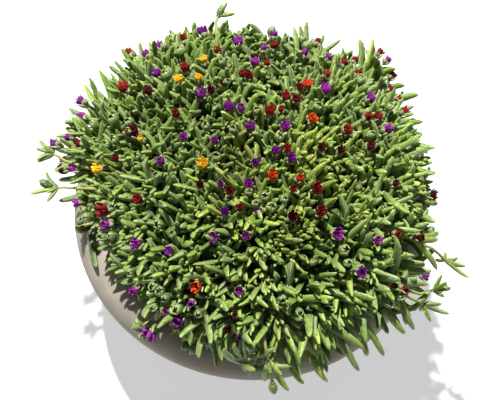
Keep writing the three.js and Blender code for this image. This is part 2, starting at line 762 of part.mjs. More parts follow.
const greens = greenShoots(blooms.map((bloom) => bloom.tip));
greens.filter((shoot) => shoot.budding).forEach((shoot) => {
  const { parts, balls } = growths[shoot.clump];
  const top = keepIn(shoot.tip.clone(), shoot.clump, BUD_RADIUS);
  overRim(shoot.base, top, 1, BUD_RADIUS);
  parts.push(budSolid(shoot.base, top, BUD_RADIUS));
  const middle = top.clone().addScaledVector(shoot.growth, -BUD_SHOULDER);
  balls.push({ centre: middle, radius: BUD_BALL });
});

OUTLINE_LEAVES.forEach(([from, to]) => {
  const tip = seen(to);
  const shoot = shootTo(seen(from));
  const { parts, balls } = growths[shoot.clump];
  const [keel] = sideways(tip.clone().sub(shoot.base).normalize(), UP.clone().negate());
  const plan = leafPlan(shoot.base, tip, keel, shoot.clump, blooms);
  parts.push(leafSolid(plan, false));
  balls.push(...leafBalls(plan));
});

STRAYS.forEach((stray) => {
  const { clump, parts } = strayParts(stray, blooms);
  growths[clump].parts.push(...parts);
});

blooms.forEach((bloom, index) => {
  const count = bloom.own ? BLOOM_LEAVES : SMALL_BLOOM_LEAVES;
  growLeaves(bloom, index, count, blooms.filter((other) => other !== bloom));
});

greens.forEach((shoot) => {
  growLeaves(shoot, blooms.length + shoot.index, GREEN_LEAVES - (shoot.budding ? 1 : 0), blooms);
});

// The room that a bloom's own piece needs in its clump.
function pocketSolid(bloom) {
  const low = bloom.foot.clone().addScaledVector(bloom.growth, -SEAT_GAP);
  const high = bloom.tip.clone().addScaledVector(bloom.growth, SEAT_GAP);
  return skin([
    ring(low, bloom.growth, UP, bloom.radius * 0.75, PETALS),
    ring(high, bloom.growth, UP, bloom.radius + SEAT_GAP, PETALS),
  ]);
}

const plant = new THREE.Group();

function addMesh(name, solid, look) {
  const mesh = new THREE.Mesh(geometryOf(solid), look);
  mesh.name = name;
  plant.add(mesh);
}

addMesh('pot', potSolid(), material(POT_COLOUR, 0.6));
addMesh('soil', soilSolid(), material(SOIL_COLOUR, 0.95));

const core = coreSolid();

CLUMP_NAMES.forEach((name, clump) => {
  const heart = core.intersect(cellSolid(clump));
  let whole = join([heart, stemSolid(CENTRES[clump], STEM_RADIUS, STEM_FOOT), ...growths[clump].parts]);
  blooms.filter((bloom) => bloom.own && bloom.clump === clump).forEach((bloom) => {
    whole = whole.subtract(pocketSolid(bloom));
  });
  addMesh(`clump_${name}`, largest(whole), material(LEAF_COLOURS[clump % 3], 0.55));
});

blooms.filter((bloom) => bloom.own).forEach((bloom) => {
  const tuft = tuftSolid([ring(bloom.foot, bloom.growth, UP, BLOOM_FOOT, PETALS)], bloom);
  addMesh(bloom.name, tuft, material(PETAL_COLOURS[bloom.colour], 0.6));
});

export default plant;
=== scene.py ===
"""Potted ice plant: a planter with a rounded rim, its soil, and a mound of finger leaves and brush blooms.

Sizes are in millimetres, in the part's own frame. Finishes, lamps and node trees have theirs in metres, as
the meshes do. Angles are in radians, except the viewpoint's.
"""

from __future__ import annotations

import logging
import math
from collections import defaultdict
from dataclasses import dataclass, field
from enum import Enum
from typing import Iterable, Sequence

import bpy
import numpy as np
from mathutils import Matrix, Vector, noise


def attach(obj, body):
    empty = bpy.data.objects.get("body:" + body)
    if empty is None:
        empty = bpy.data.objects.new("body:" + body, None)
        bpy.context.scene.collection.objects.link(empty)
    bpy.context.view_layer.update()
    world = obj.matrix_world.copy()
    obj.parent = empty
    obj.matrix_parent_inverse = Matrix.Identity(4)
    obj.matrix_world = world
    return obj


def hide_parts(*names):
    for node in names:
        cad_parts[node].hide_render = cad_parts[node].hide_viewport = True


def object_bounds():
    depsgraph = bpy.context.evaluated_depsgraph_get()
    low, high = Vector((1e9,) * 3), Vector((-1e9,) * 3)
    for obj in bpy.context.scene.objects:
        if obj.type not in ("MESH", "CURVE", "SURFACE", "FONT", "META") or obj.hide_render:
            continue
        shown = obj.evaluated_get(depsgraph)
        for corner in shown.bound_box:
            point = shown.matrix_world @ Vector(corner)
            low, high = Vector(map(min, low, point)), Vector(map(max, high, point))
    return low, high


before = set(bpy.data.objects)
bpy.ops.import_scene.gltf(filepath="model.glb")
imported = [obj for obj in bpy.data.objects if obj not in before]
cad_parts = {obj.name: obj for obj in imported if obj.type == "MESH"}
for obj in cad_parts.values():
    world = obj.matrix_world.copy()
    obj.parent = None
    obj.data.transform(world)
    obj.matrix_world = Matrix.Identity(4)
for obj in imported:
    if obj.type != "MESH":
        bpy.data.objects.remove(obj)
CAD_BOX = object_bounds()

log = logging.getLogger("ice_plant")

MM = 0.001
GOLDEN_ANGLE = math.pi * (3 - math.sqrt(5))
UP = np.array([0.0, 0.0, 1.0])
ROOT_BODY = "root"

Point = np.ndarray
Colour = tuple[float, float, float]
Pixel = tuple[int, int]
Piece = bpy.types.Object
Node = bpy.types.Node
Socket = bpy.types.NodeSocket
Tree = bpy.types.NodeTree
Material = bpy.types.Material
DressedPiece = tuple[Piece, str, list[str]]
Stops = tuple[tuple[float, Colour], ...]


class Hue(Enum):
    """Petal colours, named as the blooms of the frame are."""

    PURPLE = "purple"
    RED = "red"
    ORANGE = "orange"
    YELLOW = "yellow"


class Stage(Enum):
    """How far a bloom has opened."""

    CLOSED = "closed"
    HALF = "half"
    STAR = "star"


class Top(Enum):
    """What a shoot carries at its tip."""

    LEAVES = "leaves"
    BUD = "bud"
    BLOOM = "bloom"


def chance(index: float, salt: float) -> float:
    """A number from 0 to 1 that is always the same for the same index and salt."""
    spread = math.sin(index * 12.9898 + salt * 78.233) * 43758.5453
    return spread - math.floor(spread)


def between(low: float, high: float, share: float) -> float:
    """The value that lies a share of the way from low to high."""
    return low + (high - low) * share


def unit(vector: Point) -> Point:
    """The vector at length 1."""
    return vector / max(float(np.linalg.norm(vector)), 1e-9)


def sideways(axis: Point, hint: Point = UP) -> tuple[Point, Point]:
    """Two directions square to an axis and to each other.

    Args:
        axis: The axis, at length 1.
        hint: What the first direction leans towards.

    Returns:
        The two directions.
    """
    first = hint - axis * float(hint @ axis)
    if np.linalg.norm(first) < 1e-3:
        first = np.array([1.0, 0.0, 0.0]) - axis * axis[0]
    first = unit(first)
    return first, np.cross(axis, first)


def turned(first: Point, second: Point, angle: float) -> Point:
    """The direction at an angle from the first towards the second, which are square to each other."""
    return first * math.cos(angle) + second * math.sin(angle)


def limited(value: float) -> float:
    """The value, but at least 0 and at most 1."""
    return min(1.0, max(0.0, value))


def fade(value: float, end: float) -> float:
    """1 where the value is 0 or less, and from there down to 0 where it reaches the end."""
    return max(0.0, 1 - max(value, 0.0) / end)


def bell(value: float, centre: float, width: float) -> float:
    """1 where the value is at the centre, and less the farther it is from there, against the width."""
    return math.exp(-((value - centre) / width) ** 2)


@dataclass(frozen=True)
class Viewpoint:
    """Where the reference picture, 500 x 400 pixels, is taken from."""

    distance: float = 675.0
    elevation: float = 63.68
    focal: float = 883.1
    roll: float = -6.08
    u: float = 252.6
    v: float = 204.2
    aim: float = 112.0
    width: float = 500.0
    height: float = 400.0
    sensor: float = 36.0

    def axes(self) -> tuple[Point, Point, Point]:
        """The picture's right, its up without roll, and the way back to the eye."""
        lift = math.radians(self.elevation)
        back = np.array([0.0, -math.cos(lift), math.sin(lift)])
        right = np.array([1.0, 0.0, 0.0])
        return right, np.cross(back, right), back

    def eye(self) -> Point:
        """The eye's place."""
        return self.axes()[2] * self.distance + UP * self.aim

    def sight(self, pixel: Sequence[float]) -> Point:
        """The line of sight through a pixel.

        Args:
            pixel: The pixel's place from the picture's left and top.

        Returns:
            A vector along that line, away from the eye.
        """
        right, above, back = self.axes()
        roll = math.radians(self.roll)
        du, dv = pixel[0] - self.u, pixel[1] - self.v
        across = du * math.cos(roll) - dv * math.sin(roll)
        rise = -du * math.sin(roll) - dv * math.cos(roll)
        return right * across + above * rise - back * self.focal

    def place_camera(self) -> Piece:
        """Adds the camera that sees the picture and makes it the scene's own."""
        right, above, back = self.axes()
        roll = math.radians(self.roll)
        turned_right = right * math.cos(roll) - above * math.sin(roll)
        turned_up = right * math.sin(roll) + above * math.cos(roll)
        data = bpy.data.cameras.new("picture_camera")
        data.sensor_width = self.sensor
        data.lens = self.focal / self.width * self.sensor
        data.shift_x = (self.width / 2 - self.u) / self.width
        data.shift_y = (self.v - self.height / 2) / self.width
        data.clip_end = 20.0
        camera = bpy.data.objects.new("picture_camera", data)
        turn = Matrix([turned_right, turned_up, back]).transposed().to_4x4()
        camera.matrix_world = Matrix.Translation(Vector(self.eye() * MM)) @ turn
        bpy.context.scene.collection.objects.link(camera)
        bpy.context.scene.camera = camera
        return camera


@dataclass(frozen=True)
class Mound:
    """The rounded form that the leaf tips reach."""

    x: float = 2.0
    y: float = 1.0
    z: float = 142.0
    wide: float = 134.0
    tall: float = 73.0
    lobe: float = -0.05

    def centre(self) -> Point:
        """The middle of the mound's foot."""
        return np.array([self.x, self.y, self.z])

    def radius(self, azimuth: float, inset: float = 0.0) -> float:
        """The mound's radius in plan, less an inset."""
        return self.wide * (1 + self.lobe * math.sin(2 * azimuth)) - inset

    def point(self, azimuth: float, latitude: float, inset: float = 0.0) -> Point:
        """A place on the mound, or under it by an inset.

        Args:
            azimuth: Angle round the axis, in radians.
            latitude: Angle above the mound's foot, in radians.
            inset: Depth under the mound's surface.

        Returns:
            The place.
        """
        reach = self.radius(azimuth, inset) * math.cos(latitude)
        return np.array([
            self.x + reach * math.cos(azimuth),
            self.y + reach * math.sin(azimuth),
            self.z + (self.tall - inset) * math.sin(latitude),
        ])

    def angles(self, point: Point) -> tuple[float, float]:
        """The azimuth and latitude that a place lies at.

        Args:
            point: The place.

        Returns:
            The two angles, in radians.
        """
        dx, dy = point[0] - self.x, point[1] - self.y
        azimuth = math.atan2(dy, dx)
        reach = math.hypot(dx, dy) / self.radius(azimuth)
        return azimuth, math.atan2((point[2] - self.z) / self.tall, reach)

    def reach(self, point: Point) -> float:
        """How far out a place lies.

        Args:
            point: The place.

        Returns:
            Its distance from the centre, where 1 is the mound's surface.
        """
        away = point - self.centre()
        wide = self.radius(math.atan2(away[1], away[0]))
        return math.sqrt((away[0] ** 2 + away[1] ** 2) / wide ** 2 + (away[2] / self.tall) ** 2)

    def seen(self, view: Viewpoint, pixel: Sequence[float]) -> Point:
        """The place on the mound that a pixel shows, or the nearest to it on that line of sight.

        Args:
            view: Where the picture is taken from.
            pixel: The pixel's place.

        Returns:
            The place.
        """
        sight, eye, wide, place = view.sight(pixel), view.eye(), self.wide, view.eye()
        for _ in range(4):
            size = np.array([wide, wide, self.tall])
            start = (eye - self.centre()) / size
            along = sight / size
            middle = -float(start @ along) / float(along @ along)
            miss = start + along * middle
            half = math.sqrt(max(0.0, 1 - float(miss @ miss)) / float(along @ along))
            place = eye + sight * (middle - half)
            wide = self.radius(self.angles(place)[0])
        return place


@dataclass(frozen=True)
class Rim:
    """The pot's rounded rim, which leaves pass over."""

    centre_radius: float = 113.0
    centre_height: float = 108.0
    outer_radius: float = 135.0
    top: float = 127.5
    room: float = 1.0
    beyond: float = 1.2

    def height(self, reach: float) -> float:
        """The rim's height at a distance from the axis.

        Args:
            reach: The distance.

        Returns:
            The height, or 0 beyond the rim.
        """
        across = (reach - self.centre_radius) / (self.outer_radius - self.centre_radius)
        if across > self.beyond:
            return 0.0
        rise = math.sqrt(max(0.0, 1 - across * across))
        return self.centre_height + (self.top - self.centre_height) * rise

    def lift(self, start: Point, end: Point, start_radius: float, end_radius: float) -> Point:
        """Lifts the end of a stretch until the stretch passes over the rim.

        Args:
            start: The stretch's fixed end.
            end: The end that may rise.
            start_radius: Half the thickness at the start.
            end_radius: Half the thickness at the end.

        Returns:
            The end's new place.
        """
        end = end.copy()
        for share in (0.25, 0.5, 0.75, 1.0):
            place = start + (end - start) * share
            radius = between(start_radius, end_radius, share)
            short = self.height(math.hypot(place[0], place[1])) + radius + self.room - place[2]
            if short > 0:
                end[2] += short / share
        return end


@dataclass(frozen=True)
class ClumpPlan:
    """How the clumps share the mound's plan: each has the places nearest its centre."""

    ring_radius: float = 92.0
    gap: float = 0.4
    names: tuple[str, ...] = (
        "crown", "right", "back_right", "back", "back_left",
        "left", "front_left", "front", "front_right",
    )

    def centres(self) -> np.ndarray:
        """The clumps' centres in plan, the crown's first."""
        count = len(self.names) - 1
        turns = [2 * math.pi * i / count for i in range(count)]
        ring = [[self.ring_radius * math.cos(t), self.ring_radius * math.sin(t)] for t in turns]
        return np.array([[0.0, 0.0], *ring])

    def nearest(self, point: Point) -> int:
        """The index of the clump that a place belongs to."""
        return int(np.argmin(np.linalg.norm(self.centres() - point[:2], axis=1)))

    def keep_in(self, point: Point, clump: int, radius: float) -> Point:
        """Moves a place into a clump's share of the plan.

        Args:
            point: The place.
            clump: The clump's index.
            radius: The room that the place needs round it.

        Returns:
            The place inside the share.
        """
        point, centres, room = point.copy(), self.centres(), radius + self.gap / 2
        for _ in range(3):
            for index, other in enumerate(centres):
                if index == clump:
                    continue
                inward = unit(centres[clump] - other)
                depth = float((point[:2] - (centres[clump] + other) / 2) @ inward)
                if depth < room:
                    point[:2] += inward * (room - depth)
        return point


VIEW = Viewpoint()
MOUND = Mound()
RIM = Rim()
PLAN = ClumpPlan()

# Blooms by their pixel in the reference picture, in the order of the frame's own blooms.
BLOOMS: dict[Hue, list[Pixel]] = {
    Hue.PURPLE: [
        (143, 50), (157, 43), (155, 70), (77, 99), (78, 114), (208, 26), (238, 38), (255, 58), (200, 91),
        (229, 104), (250, 124), (286, 124), (327, 86), (390, 125), (373, 95), (159, 159), (103, 225),
        (133, 244), (207, 234), (246, 235), (339, 233), (364, 273), (176, 322), (146, 337),
    ],
    Hue.RED: [
        (127, 49), (122, 85), (143, 93), (131, 130), (181, 35), (184, 64), (99, 205), (135, 198),
        (287, 93), (270, 108), (349, 125), (372, 117), (314, 183), (322, 210), (287, 217), (409, 109),
    ],
    Hue.ORANGE: [(308, 81), (314, 116), (273, 174), (301, 176), (195, 288)],
    Hue.YELLOW: [(178, 76), (94, 167), (202, 162), (203, 56)],
}

# Smaller blooms that the frame holds in one with their clump.
SMALL_BLOOMS: list[tuple[Hue, list[Pixel]]] = [
    (Hue.PURPLE, [
        (264, 45), (274, 31), (305, 50), (241, 106), (330, 54), (390, 57), (64, 136), (50, 143), (70, 168),
        (72, 203), (183, 135), (214, 138), (276, 149), (292, 157), (256, 161), (220, 182), (249, 183),
        (224, 210), (259, 210), (168, 250), (380, 240), (429, 277), (131, 292), (164, 313), (190, 305),
        (239, 291), (240, 339),
    ]),
    (Hue.RED, [
        (222, 46), (274, 43), (319, 38), (267, 60), (238, 72), (245, 78), (225, 82), (212, 95), (175, 111),
        (297, 95), (298, 82), (281, 107), (328, 71), (346, 60), (357, 57), (360, 70), (382, 50), (395, 73),
        (393, 86), (403, 97), (382, 119), (327, 146), (342, 148), (372, 145), (113, 157), (62, 168),
        (288, 147), (297, 191), (200, 183), (240, 204), (398, 182), (437, 195), (400, 234), (423, 238),
        (235, 316), (227, 331), (397, 287), (407, 291), (69, 139), (229, 190),
    ]),
    (Hue.YELLOW, [(198, 75), (139, 137)]),
]

# Closed buds that show clearly.
BUDS = [
    (128, 273), (152, 309), (164, 299), (173, 309), (184, 349), (194, 353), (198, 315), (205, 124),
    (233, 128), (280, 135), (265, 196), (249, 191), (283, 300), (391, 304), (92, 123), (81, 210),
    (118, 208), (100, 237), (152, 287), (349, 263), (346, 250), (300, 313), (165, 72), (222, 60),
    (318, 105), (363, 77),
]

# Blooms that stand open as a star, the sizes of the large ones, and the red ones that are nearly black.
STARS = {(146, 337), (437, 195)}
LARGE = {(146, 337): 1.25, (437, 195): 1.1, (99, 205): 1.4, (122, 85): 1.2, (131, 130): 1.25, (176, 322): 1.1}
DARK_REDS = {
    (225, 82), (327, 146), (342, 148), (372, 145), (398, 182), (437, 195), (423, 238), (200, 183),
    (235, 316), (227, 331), (113, 157), (143, 93), (212, 95), (287, 217), (131, 130), (62, 168),
}

# Long leaves at the outline, by the pixels of their root and tip.
OUTLINE_LEAVES = [
    ((286, 366), (304, 384)), ((306, 358), (328, 382)), ((288, 335), (324, 363)), ((347, 350), (359, 371)),
    ((365, 338), (367, 356)), ((373, 332), (384, 356)), ((410, 301), (406, 325)), ((425, 241), (439, 232)),
    ((424, 242), (438, 239)), ((372, 66), (373, 38)), ((300, 48), (293, 26)), ((95, 112), (84, 84)),
    ((400, 160), (434, 146)), ((395, 150), (418, 138)), ((390, 300), (411, 316)), ((240, 350), (246, 372)),
    ((424, 240), (437, 270)), ((407, 298), (405, 323)), ((402, 303), (414, 330)), ((392, 318), (405, 334)),
]


@dataclass(frozen=True)
class Stray:
    """A shoot that stands out of the mound, by its pixels in the reference picture."""

    stem: tuple[Pixel, ...]
    leaves: tuple[Pixel, ...]
    bud: Pixel | None = None
    fresh: float = 0.3


STRAYS = [
    Stray(((214, 40), (216, 22), (219, 15)), ((227, 2), (221, 4)), (222, 8)),
    Stray(((80, 168), (65, 161), (52, 153)), ((37, 161), (36, 149), (57, 138), (39, 140))),
    Stray(((90, 188), (72, 188), (56, 188)), ((30, 194), (46, 171)), (38, 181)),
    Stray(((419, 238), (433, 249), (445, 261)), ((469, 278), (466, 266), (458, 257))),
    Stray(((402, 294), (412, 299), (424, 305)), ((450, 314), (424, 313))),
    Stray(((404, 296), (420, 294), (435, 290)), ((451, 288), (447, 284), (440, 296))),
    Stray(((262, 338), (266, 349), (269, 361)), ((264, 381), (289, 391), (281, 374)), (274, 394), 0.9),
    Stray(((156, 317), (149, 322), (142, 326)), ((133, 322), (140, 334), (137, 318)), (132, 329)),
]


@dataclass
class Shoot:
    """One leafy shoot, from its base inside the mound to its tip on it."""

    tip: Point
    base: Point
    growth: Point
    clump: int
    serial: int
    top: Top = Top.LEAVES
    hue: Hue | None = None
    stage: Stage = Stage.HALF
    size: float = 1.0
    dark: bool = False
    foot: Point = field(default_factory=lambda: np.zeros(3))


@dataclass(frozen=True)
class BareStretch:
    """A low stretch of the mound where most green shoots are left out, so that the rim shows."""

    azimuth: float
    nearness: float
    height: float

    def holds(self, azimuth: float, height: float) -> bool:
        """Whether a place, by its azimuth and its height from 0 to 1, lies in the stretch."""
        return height < self.height and math.cos(azimuth - self.azimuth) > self.nearness


@dataclass
class ShootPlan:
    """Where every shoot of the mound stands."""

    core_inset: float = 23.0
    root_depth: float = 9.0
    skirt_root: float = 137.0
    lean: float = 0.13
    root_radius: float = 3.3
    bloom_radius: float = 4.1
    bloom_height: float = 7.0
    bloom_room: float = 0.7
    border_room: float = 0.8
    small: float = 0.8
    small_left: float = 0.95
    cup_share: float = 0.7
    tuft_share: float = 1.15
    green_count: int = 156
    lowest: float = -0.25
    crowding: float = 1.4
    clearance: float = 9.0
    bud_clearance: float = 5.0
    scatter: float = 4.0
    bud_every: int = 6
    filler_count: int = 2600
    filler_spacing: float = 9.0
    filler_lowest: float = -0.24
    hollow_depth: float = 16.0
    bud_share: float = 0.1
    bud_azimuth: float = -2.2
    closed_share: float = 0.3
    left_edge: int = 90
    bare_stretches: tuple[BareStretch, ...] = (BareStretch(-1.55, 0.45, 0.31), BareStretch(-0.28, 0.94, 0.3))
    bare_share: float = 0.86
    hollow_swing: float = 2.2
    hollow_scale: float = 0.038
    hollow_level: float = 0.42
    foot_spacing: float = 1.15
    crown_spacing: float = 0.88
    front_azimuth: float = -0.8
    front_height: float = 0.9
    front_spacing: float = 1.1

    def to_tip(self, tip: Point, serial: int) -> Shoot:
        """The shoot that ends at a tip.

        Args:
            tip: The tip's place on the mound.
            serial: The shoot's number, which all its chances follow.

        Returns:
            The shoot.
        """
        azimuth, latitude = MOUND.angles(tip)
        clump = PLAN.nearest(tip)
        turn = max(latitude, 0.0) - self.lean * math.cos(latitude)
        base = MOUND.point(azimuth, turn, self.core_inset + self.root_depth)
        base[2] = max(base[2], self.skirt_root)
        base = PLAN.keep_in(base, clump, self.root_radius)
        return Shoot(tip.copy(), base, unit(tip - base), clump, serial)

    def bloom(self, pixel: Pixel, size: float, earlier: list[Shoot]) -> Shoot:
        """The shoot under a bloom, clear of the rim, the clump's borders and the blooms before it.

        Args:
            pixel: The bloom's pixel.
            size: The bloom's size against a full one.
            earlier: The blooms before it.

        Returns:
            The shoot.
        """
        shoot = self.to_tip(MOUND.seen(VIEW, pixel), len(earlier))
        radius, tip = self.bloom_radius * size, shoot.tip
        for _ in range(5):
            for other in earlier:
                away = tip - other.tip
                room = radius + self.bloom_radius * other.size + self.bloom_room
                short = room - float(np.linalg.norm(away))
                if short > 0:
                    tip = tip + unit(away) * short
            tip = RIM.lift(shoot.base, tip, radius * self.cup_share, radius * self.tuft_share)
            tip = PLAN.keep_in(tip, shoot.clump, radius + self.border_room)
        shoot.tip, shoot.growth = tip, unit(tip - shoot.base)
        shoot.foot = tip - shoot.growth * (self.bloom_height * size)
        shoot.top, shoot.size = Top.BLOOM, size
        return shoot

    def blooms(self) -> list[Shoot]:
        """Every bloom's shoot, the frame's own blooms first."""
        rows = [(hue, pixel, 1.0) for hue, pixels in BLOOMS.items() for pixel in pixels]
        rows += [(hue, pixel, self.small if pixel[0] > self.left_edge else self.small_left)
                 for hue, pixels in SMALL_BLOOMS for pixel in pixels]
        shoots: list[Shoot] = []
        for hue, pixel, size in rows:
            shoot = self.bloom(pixel, size, shoots)
            shoot.size *= LARGE.get(pixel, between(0.9, 1.1, chance(shoot.serial, 62)))
            shoot.hue, shoot.dark = hue, pixel in DARK_REDS
            roll = chance(shoot.serial, 61)
            shoot.stage = Stage.CLOSED if roll < self.closed_share else Stage.HALF
            if pixel in STARS:
                shoot.stage = Stage.STAR
            shoots.append(shoot)
        return shoots

    def buds(self, taken: list[Shoot]) -> list[Shoot]:
        """The shoots under the buds that show clearly.

        Args:
            taken: The blooms' shoots.

        Returns:
            The buds' shoots.
        """
        shoots: list[Shoot] = []
        for i, pixel in enumerate(BUDS):
            tip = MOUND.seen(VIEW, pixel)
            if any(np.linalg.norm(shoot.tip - tip) < self.bud_clearance for shoot in taken):
                continue
            shoot = self.to_tip(tip, 600 + i)
            tip = PLAN.keep_in(RIM.lift(shoot.base, tip, 3.0, 3.0), shoot.clump, 3.0)
            shoot.tip, shoot.growth, shoot.top = tip, unit(tip - shoot.base), Top.BUD
            shoots.append(shoot)
        return shoots

    def left_out(self, azimuth: float, height: float, serial: int) -> bool:
        """Whether a shoot, by its azimuth, height and number, is left out in a bare stretch."""
        bare = any(stretch.holds(azimuth, height) for stretch in self.bare_stretches)
        return bare and chance(serial, 75) < self.bare_share

    def greens(self, taken: list[Shoot]) -> list[Shoot]:
        """The green shoots that the frame holds too.

        Args:
            taken: The blooms' shoots.

        Returns:
            The green shoots, every sixth with a bud.
        """
        shoots: list[Shoot] = []
        for i in range(self.green_count):
            height = 1 - (1 - self.lowest) * ((i + 0.5) / self.green_count) ** self.crowding
            tip = MOUND.point(i * GOLDEN_ANGLE, math.asin(height), self.scatter * chance(i, 1))
            if any(np.linalg.norm(shoot.tip - tip) < self.clearance for shoot in taken):
                continue
            if self.left_out(MOUND.angles(tip)[0], height, i):
                continue
            shoot = self.to_tip(tip, len(taken) + i)
            shoot.top = Top.BUD if i % self.bud_every == 0 else Top.LEAVES
            shoots.append(shoot)
        return shoots

    def hollow(self, azimuth: float, latitude: float, height: float) -> float:
        """How deep a shoot lies in the mound's hollows, which are deepest in front and slight at the top.

        Args:
            azimuth: The shoot's azimuth.
            latitude: Its latitude.
            height: Its height, from 0 to 1 at the top.

        Returns:
            The depth, where 0 is the mound's surface.
        """
        wave = noise.noise(Vector(MOUND.point(azimuth, latitude)) * self.hollow_scale)
        hollow = self.hollow_swing * wave + self.hollow_level
        facing = (1 - math.sin(azimuth) * math.cos(latitude)) / 2
        hollow *= between(0.3, 1.5, facing) * (1 - 0.6 * max(height, 0.0) ** 4)
        return self.hollow_depth * max(0.0, hollow)

    def spacing(self, azimuth: float, latitude: float, height: float) -> float:
        """How far a shoot keeps from the others, which is farthest low in front on the right.

        Args:
            azimuth: The shoot's azimuth.
            latitude: Its latitude.
            height: Its height, from 0 to 1 at the top.

        Returns:
            The distance.
        """
        front = max(0.0, math.cos(azimuth - self.front_azimuth)) ** 1.5
        front *= max(0.0, 1 - latitude / self.front_height)
        level = between(self.foot_spacing, self.crown_spacing, max(height, 0.0) ** 0.5)
        return self.filler_spacing * level * (1 + self.front_spacing * front)

    def fillers(self, taken: list[Shoot]) -> list[Shoot]:
        """Further green shoots wherever the mound has room between the others.

        Args:
            taken: All shoots so far.

        Returns:
            The further shoots.
        """
        places = [shoot.tip for shoot in taken]
        shoots: list[Shoot] = []
        for i in range(self.filler_count):
            height = 1 - (1 - self.filler_lowest) * chance(i, 71)
            azimuth, latitude = 2 * math.pi * chance(i, 72), math.asin(height)
            depth = self.scatter * chance(i, 73) + self.hollow(azimuth, latitude, height)
            tip = MOUND.point(azimuth, latitude, depth)
            if self.left_out(azimuth, height, i + 500):
                continue
            nearest = np.min(np.linalg.norm(np.array(places) - tip, axis=1))
            if nearest < self.spacing(azimuth, latitude, height):
                continue
            places.append(tip)
            shoot = self.to_tip(tip, 1000 + i)
            likely = self.bud_share if math.cos(azimuth - self.bud_azimuth) > 0.4 else self.bud_share / 3
            if chance(i, 74) < likely and latitude > 0:
                shoot.tip, shoot.top = MOUND.point(azimuth, latitude), Top.BUD
            shoots.append(shoot)
        return shoots


def link_mesh(name: str, points: np.ndarray, faces: Iterable[Sequence[int]], edges: Iterable = ()) -> Piece:
    """Makes an object from points in millimetres.

    Args:
        name: The object's name.
        points: The points, a row each.
        faces: The faces as lists of point numbers.
        edges: Loose edges, where there are any.

    Returns:
        The object, at the origin.
    """
    mesh = bpy.data.meshes.new(name)
    mesh.from_pydata((np.asarray(points, float) * MM).tolist(), list(edges), [list(f) for f in faces])
    mesh.validate()
    mesh.update()
    piece = bpy.data.objects.new(name, mesh)
    bpy.context.scene.collection.objects.link(piece)
    return piece


def add_values(piece: Piece, name: str, values: Sequence, kind: str = "FLOAT") -> None:
    """Stores a value for each point of a piece.

    Args:
        piece: The piece.
        name: The attribute's name.
        values: The values, one for each point.
        kind: FLOAT or FLOAT_VECTOR.
    """
    layer = piece.data.attributes.new(name, kind, "POINT")
    key = "value" if kind == "FLOAT" else "vector"
    layer.data.foreach_set(key, np.asarray(values, np.float32).ravel())


def revolve_faces(rows: int, segments: int) -> list[list[int]]:
    """Faces of a turned shape whose first and last rows are single points.

    Args:
        rows: The number of full rings between those points.
        segments: The points in a ring.

    Returns:
        The faces, pointing out for a profile that runs from the bottom, round the outside, to the top.
    """
    last = 1 + rows * segments
    faces: list[list[int]] = []
    for i in range(segments):
        j = (i + 1) % segments
        faces.append([0, 1 + j, 1 + i])
        for row in range(rows - 1):
            low, high = 1 + row * segments, 1 + (row + 1) * segments
            faces.append([low + i, low + j, high + j, high + i])
        faces.append([1 + (rows - 1) * segments + i, 1 + (rows - 1) * segments + j, last])
    return faces


def revolve(name: str, profile: Sequence[tuple[float, float]], segments: int) -> Piece:
    """A turned piece from a profile of radius and height that starts and ends on the axis.

    Args:
        name: The piece's name.
        profile: The profile's points.
        segments: The points in each ring.

    Returns:
        The piece.
    """
    turns = 2 * np.pi * np.arange(segments) / segments
    points = [[0.0, 0.0, profile[0][1]]]
    for radius, height in profile[1:-1]:
        points += [[radius * math.cos(t), radius * math.sin(t), height] for t in turns]
    points.append([0.0, 0.0, profile[-1][1]])
    piece = link_mesh(name, np.array(points), revolve_faces(len(profile) - 2, segments))
    piece.data.shade_smooth()
    return piece


@dataclass
class NodeSheet:
    """A node tree under construction, of geometry or of a material."""

    tree: Tree

    def add(self, kind: str, inputs: dict | None = None, **settings: object) -> Node:
        """Adds a node.

        Args:
            kind: The node's type.
            inputs: Values or sockets for its inputs, by name or number.
            **settings: The node's own settings.

        Returns:
            The node.
        """
        node = self.tree.nodes.new(kind)
        for name, value in settings.items():
            setattr(node, name, value)
        for key, value in (inputs or {}).items():
            if isinstance(value, Socket):
                self.tree.links.new(value, node.inputs[key])
            else:
                node.inputs[key].default_value = value
        return node

    def math(self, operation: str, first: object, second: object = None) -> Socket:
        """The result of a sum on one or two numbers or sockets."""
        inputs = {0: first} if second is None else {0: first, 1: second}
        return self.add("ShaderNodeMath", inputs, operation=operation).outputs[0]

    def times(self, first: object, second: object) -> Socket:
        """The product of two numbers or sockets."""
        return self.math("MULTIPLY", first, second)

    def stored(self, name: str, kind: str) -> Socket:
        """The values of a kind that the mesh of a geometry tree holds under a name."""
        return self.add("GeometryNodeInputNamedAttribute", {"Name": name}, data_type=kind).outputs[0]


def keep_result(piece: Piece) -> None:
    """Keeps what a piece's modifiers make of it as its plain mesh.

    Args:
        piece: The piece, which has no modifier left afterwards.
    """
    depsgraph = bpy.context.evaluated_depsgraph_get()
    mesh = bpy.data.meshes.new_from_object(
        piece.evaluated_get(depsgraph), preserve_all_data_layers=True, depsgraph=depsgraph,
    )
    piece.modifiers.clear()
    old, piece.data = piece.data, mesh
    mesh.name = piece.name
    bpy.data.meshes.remove(old)


def run_nodes(piece: Piece, tree: Tree, values: dict[str, object]) -> Piece:
    """Runs a tree on a piece and keeps the result as its plain mesh.

    Args:
        piece: The piece, whose mesh the tree reads.
        tree: The tree.
        values: The tree's inputs by name.

    Returns:
        The piece, with no modifier left.
    """
    modifier = piece.modifiers.new("nodes", "NODES")
    modifier.node_group = tree
    named = {item.name: item.identifier for item in tree.interface.items_tree if item.in_out == "INPUT"}
    for name, value in values.items():
        modifier[named[name]] = value
    bpy.context.view_layer.update()
    keep_result(piece)
    return piece


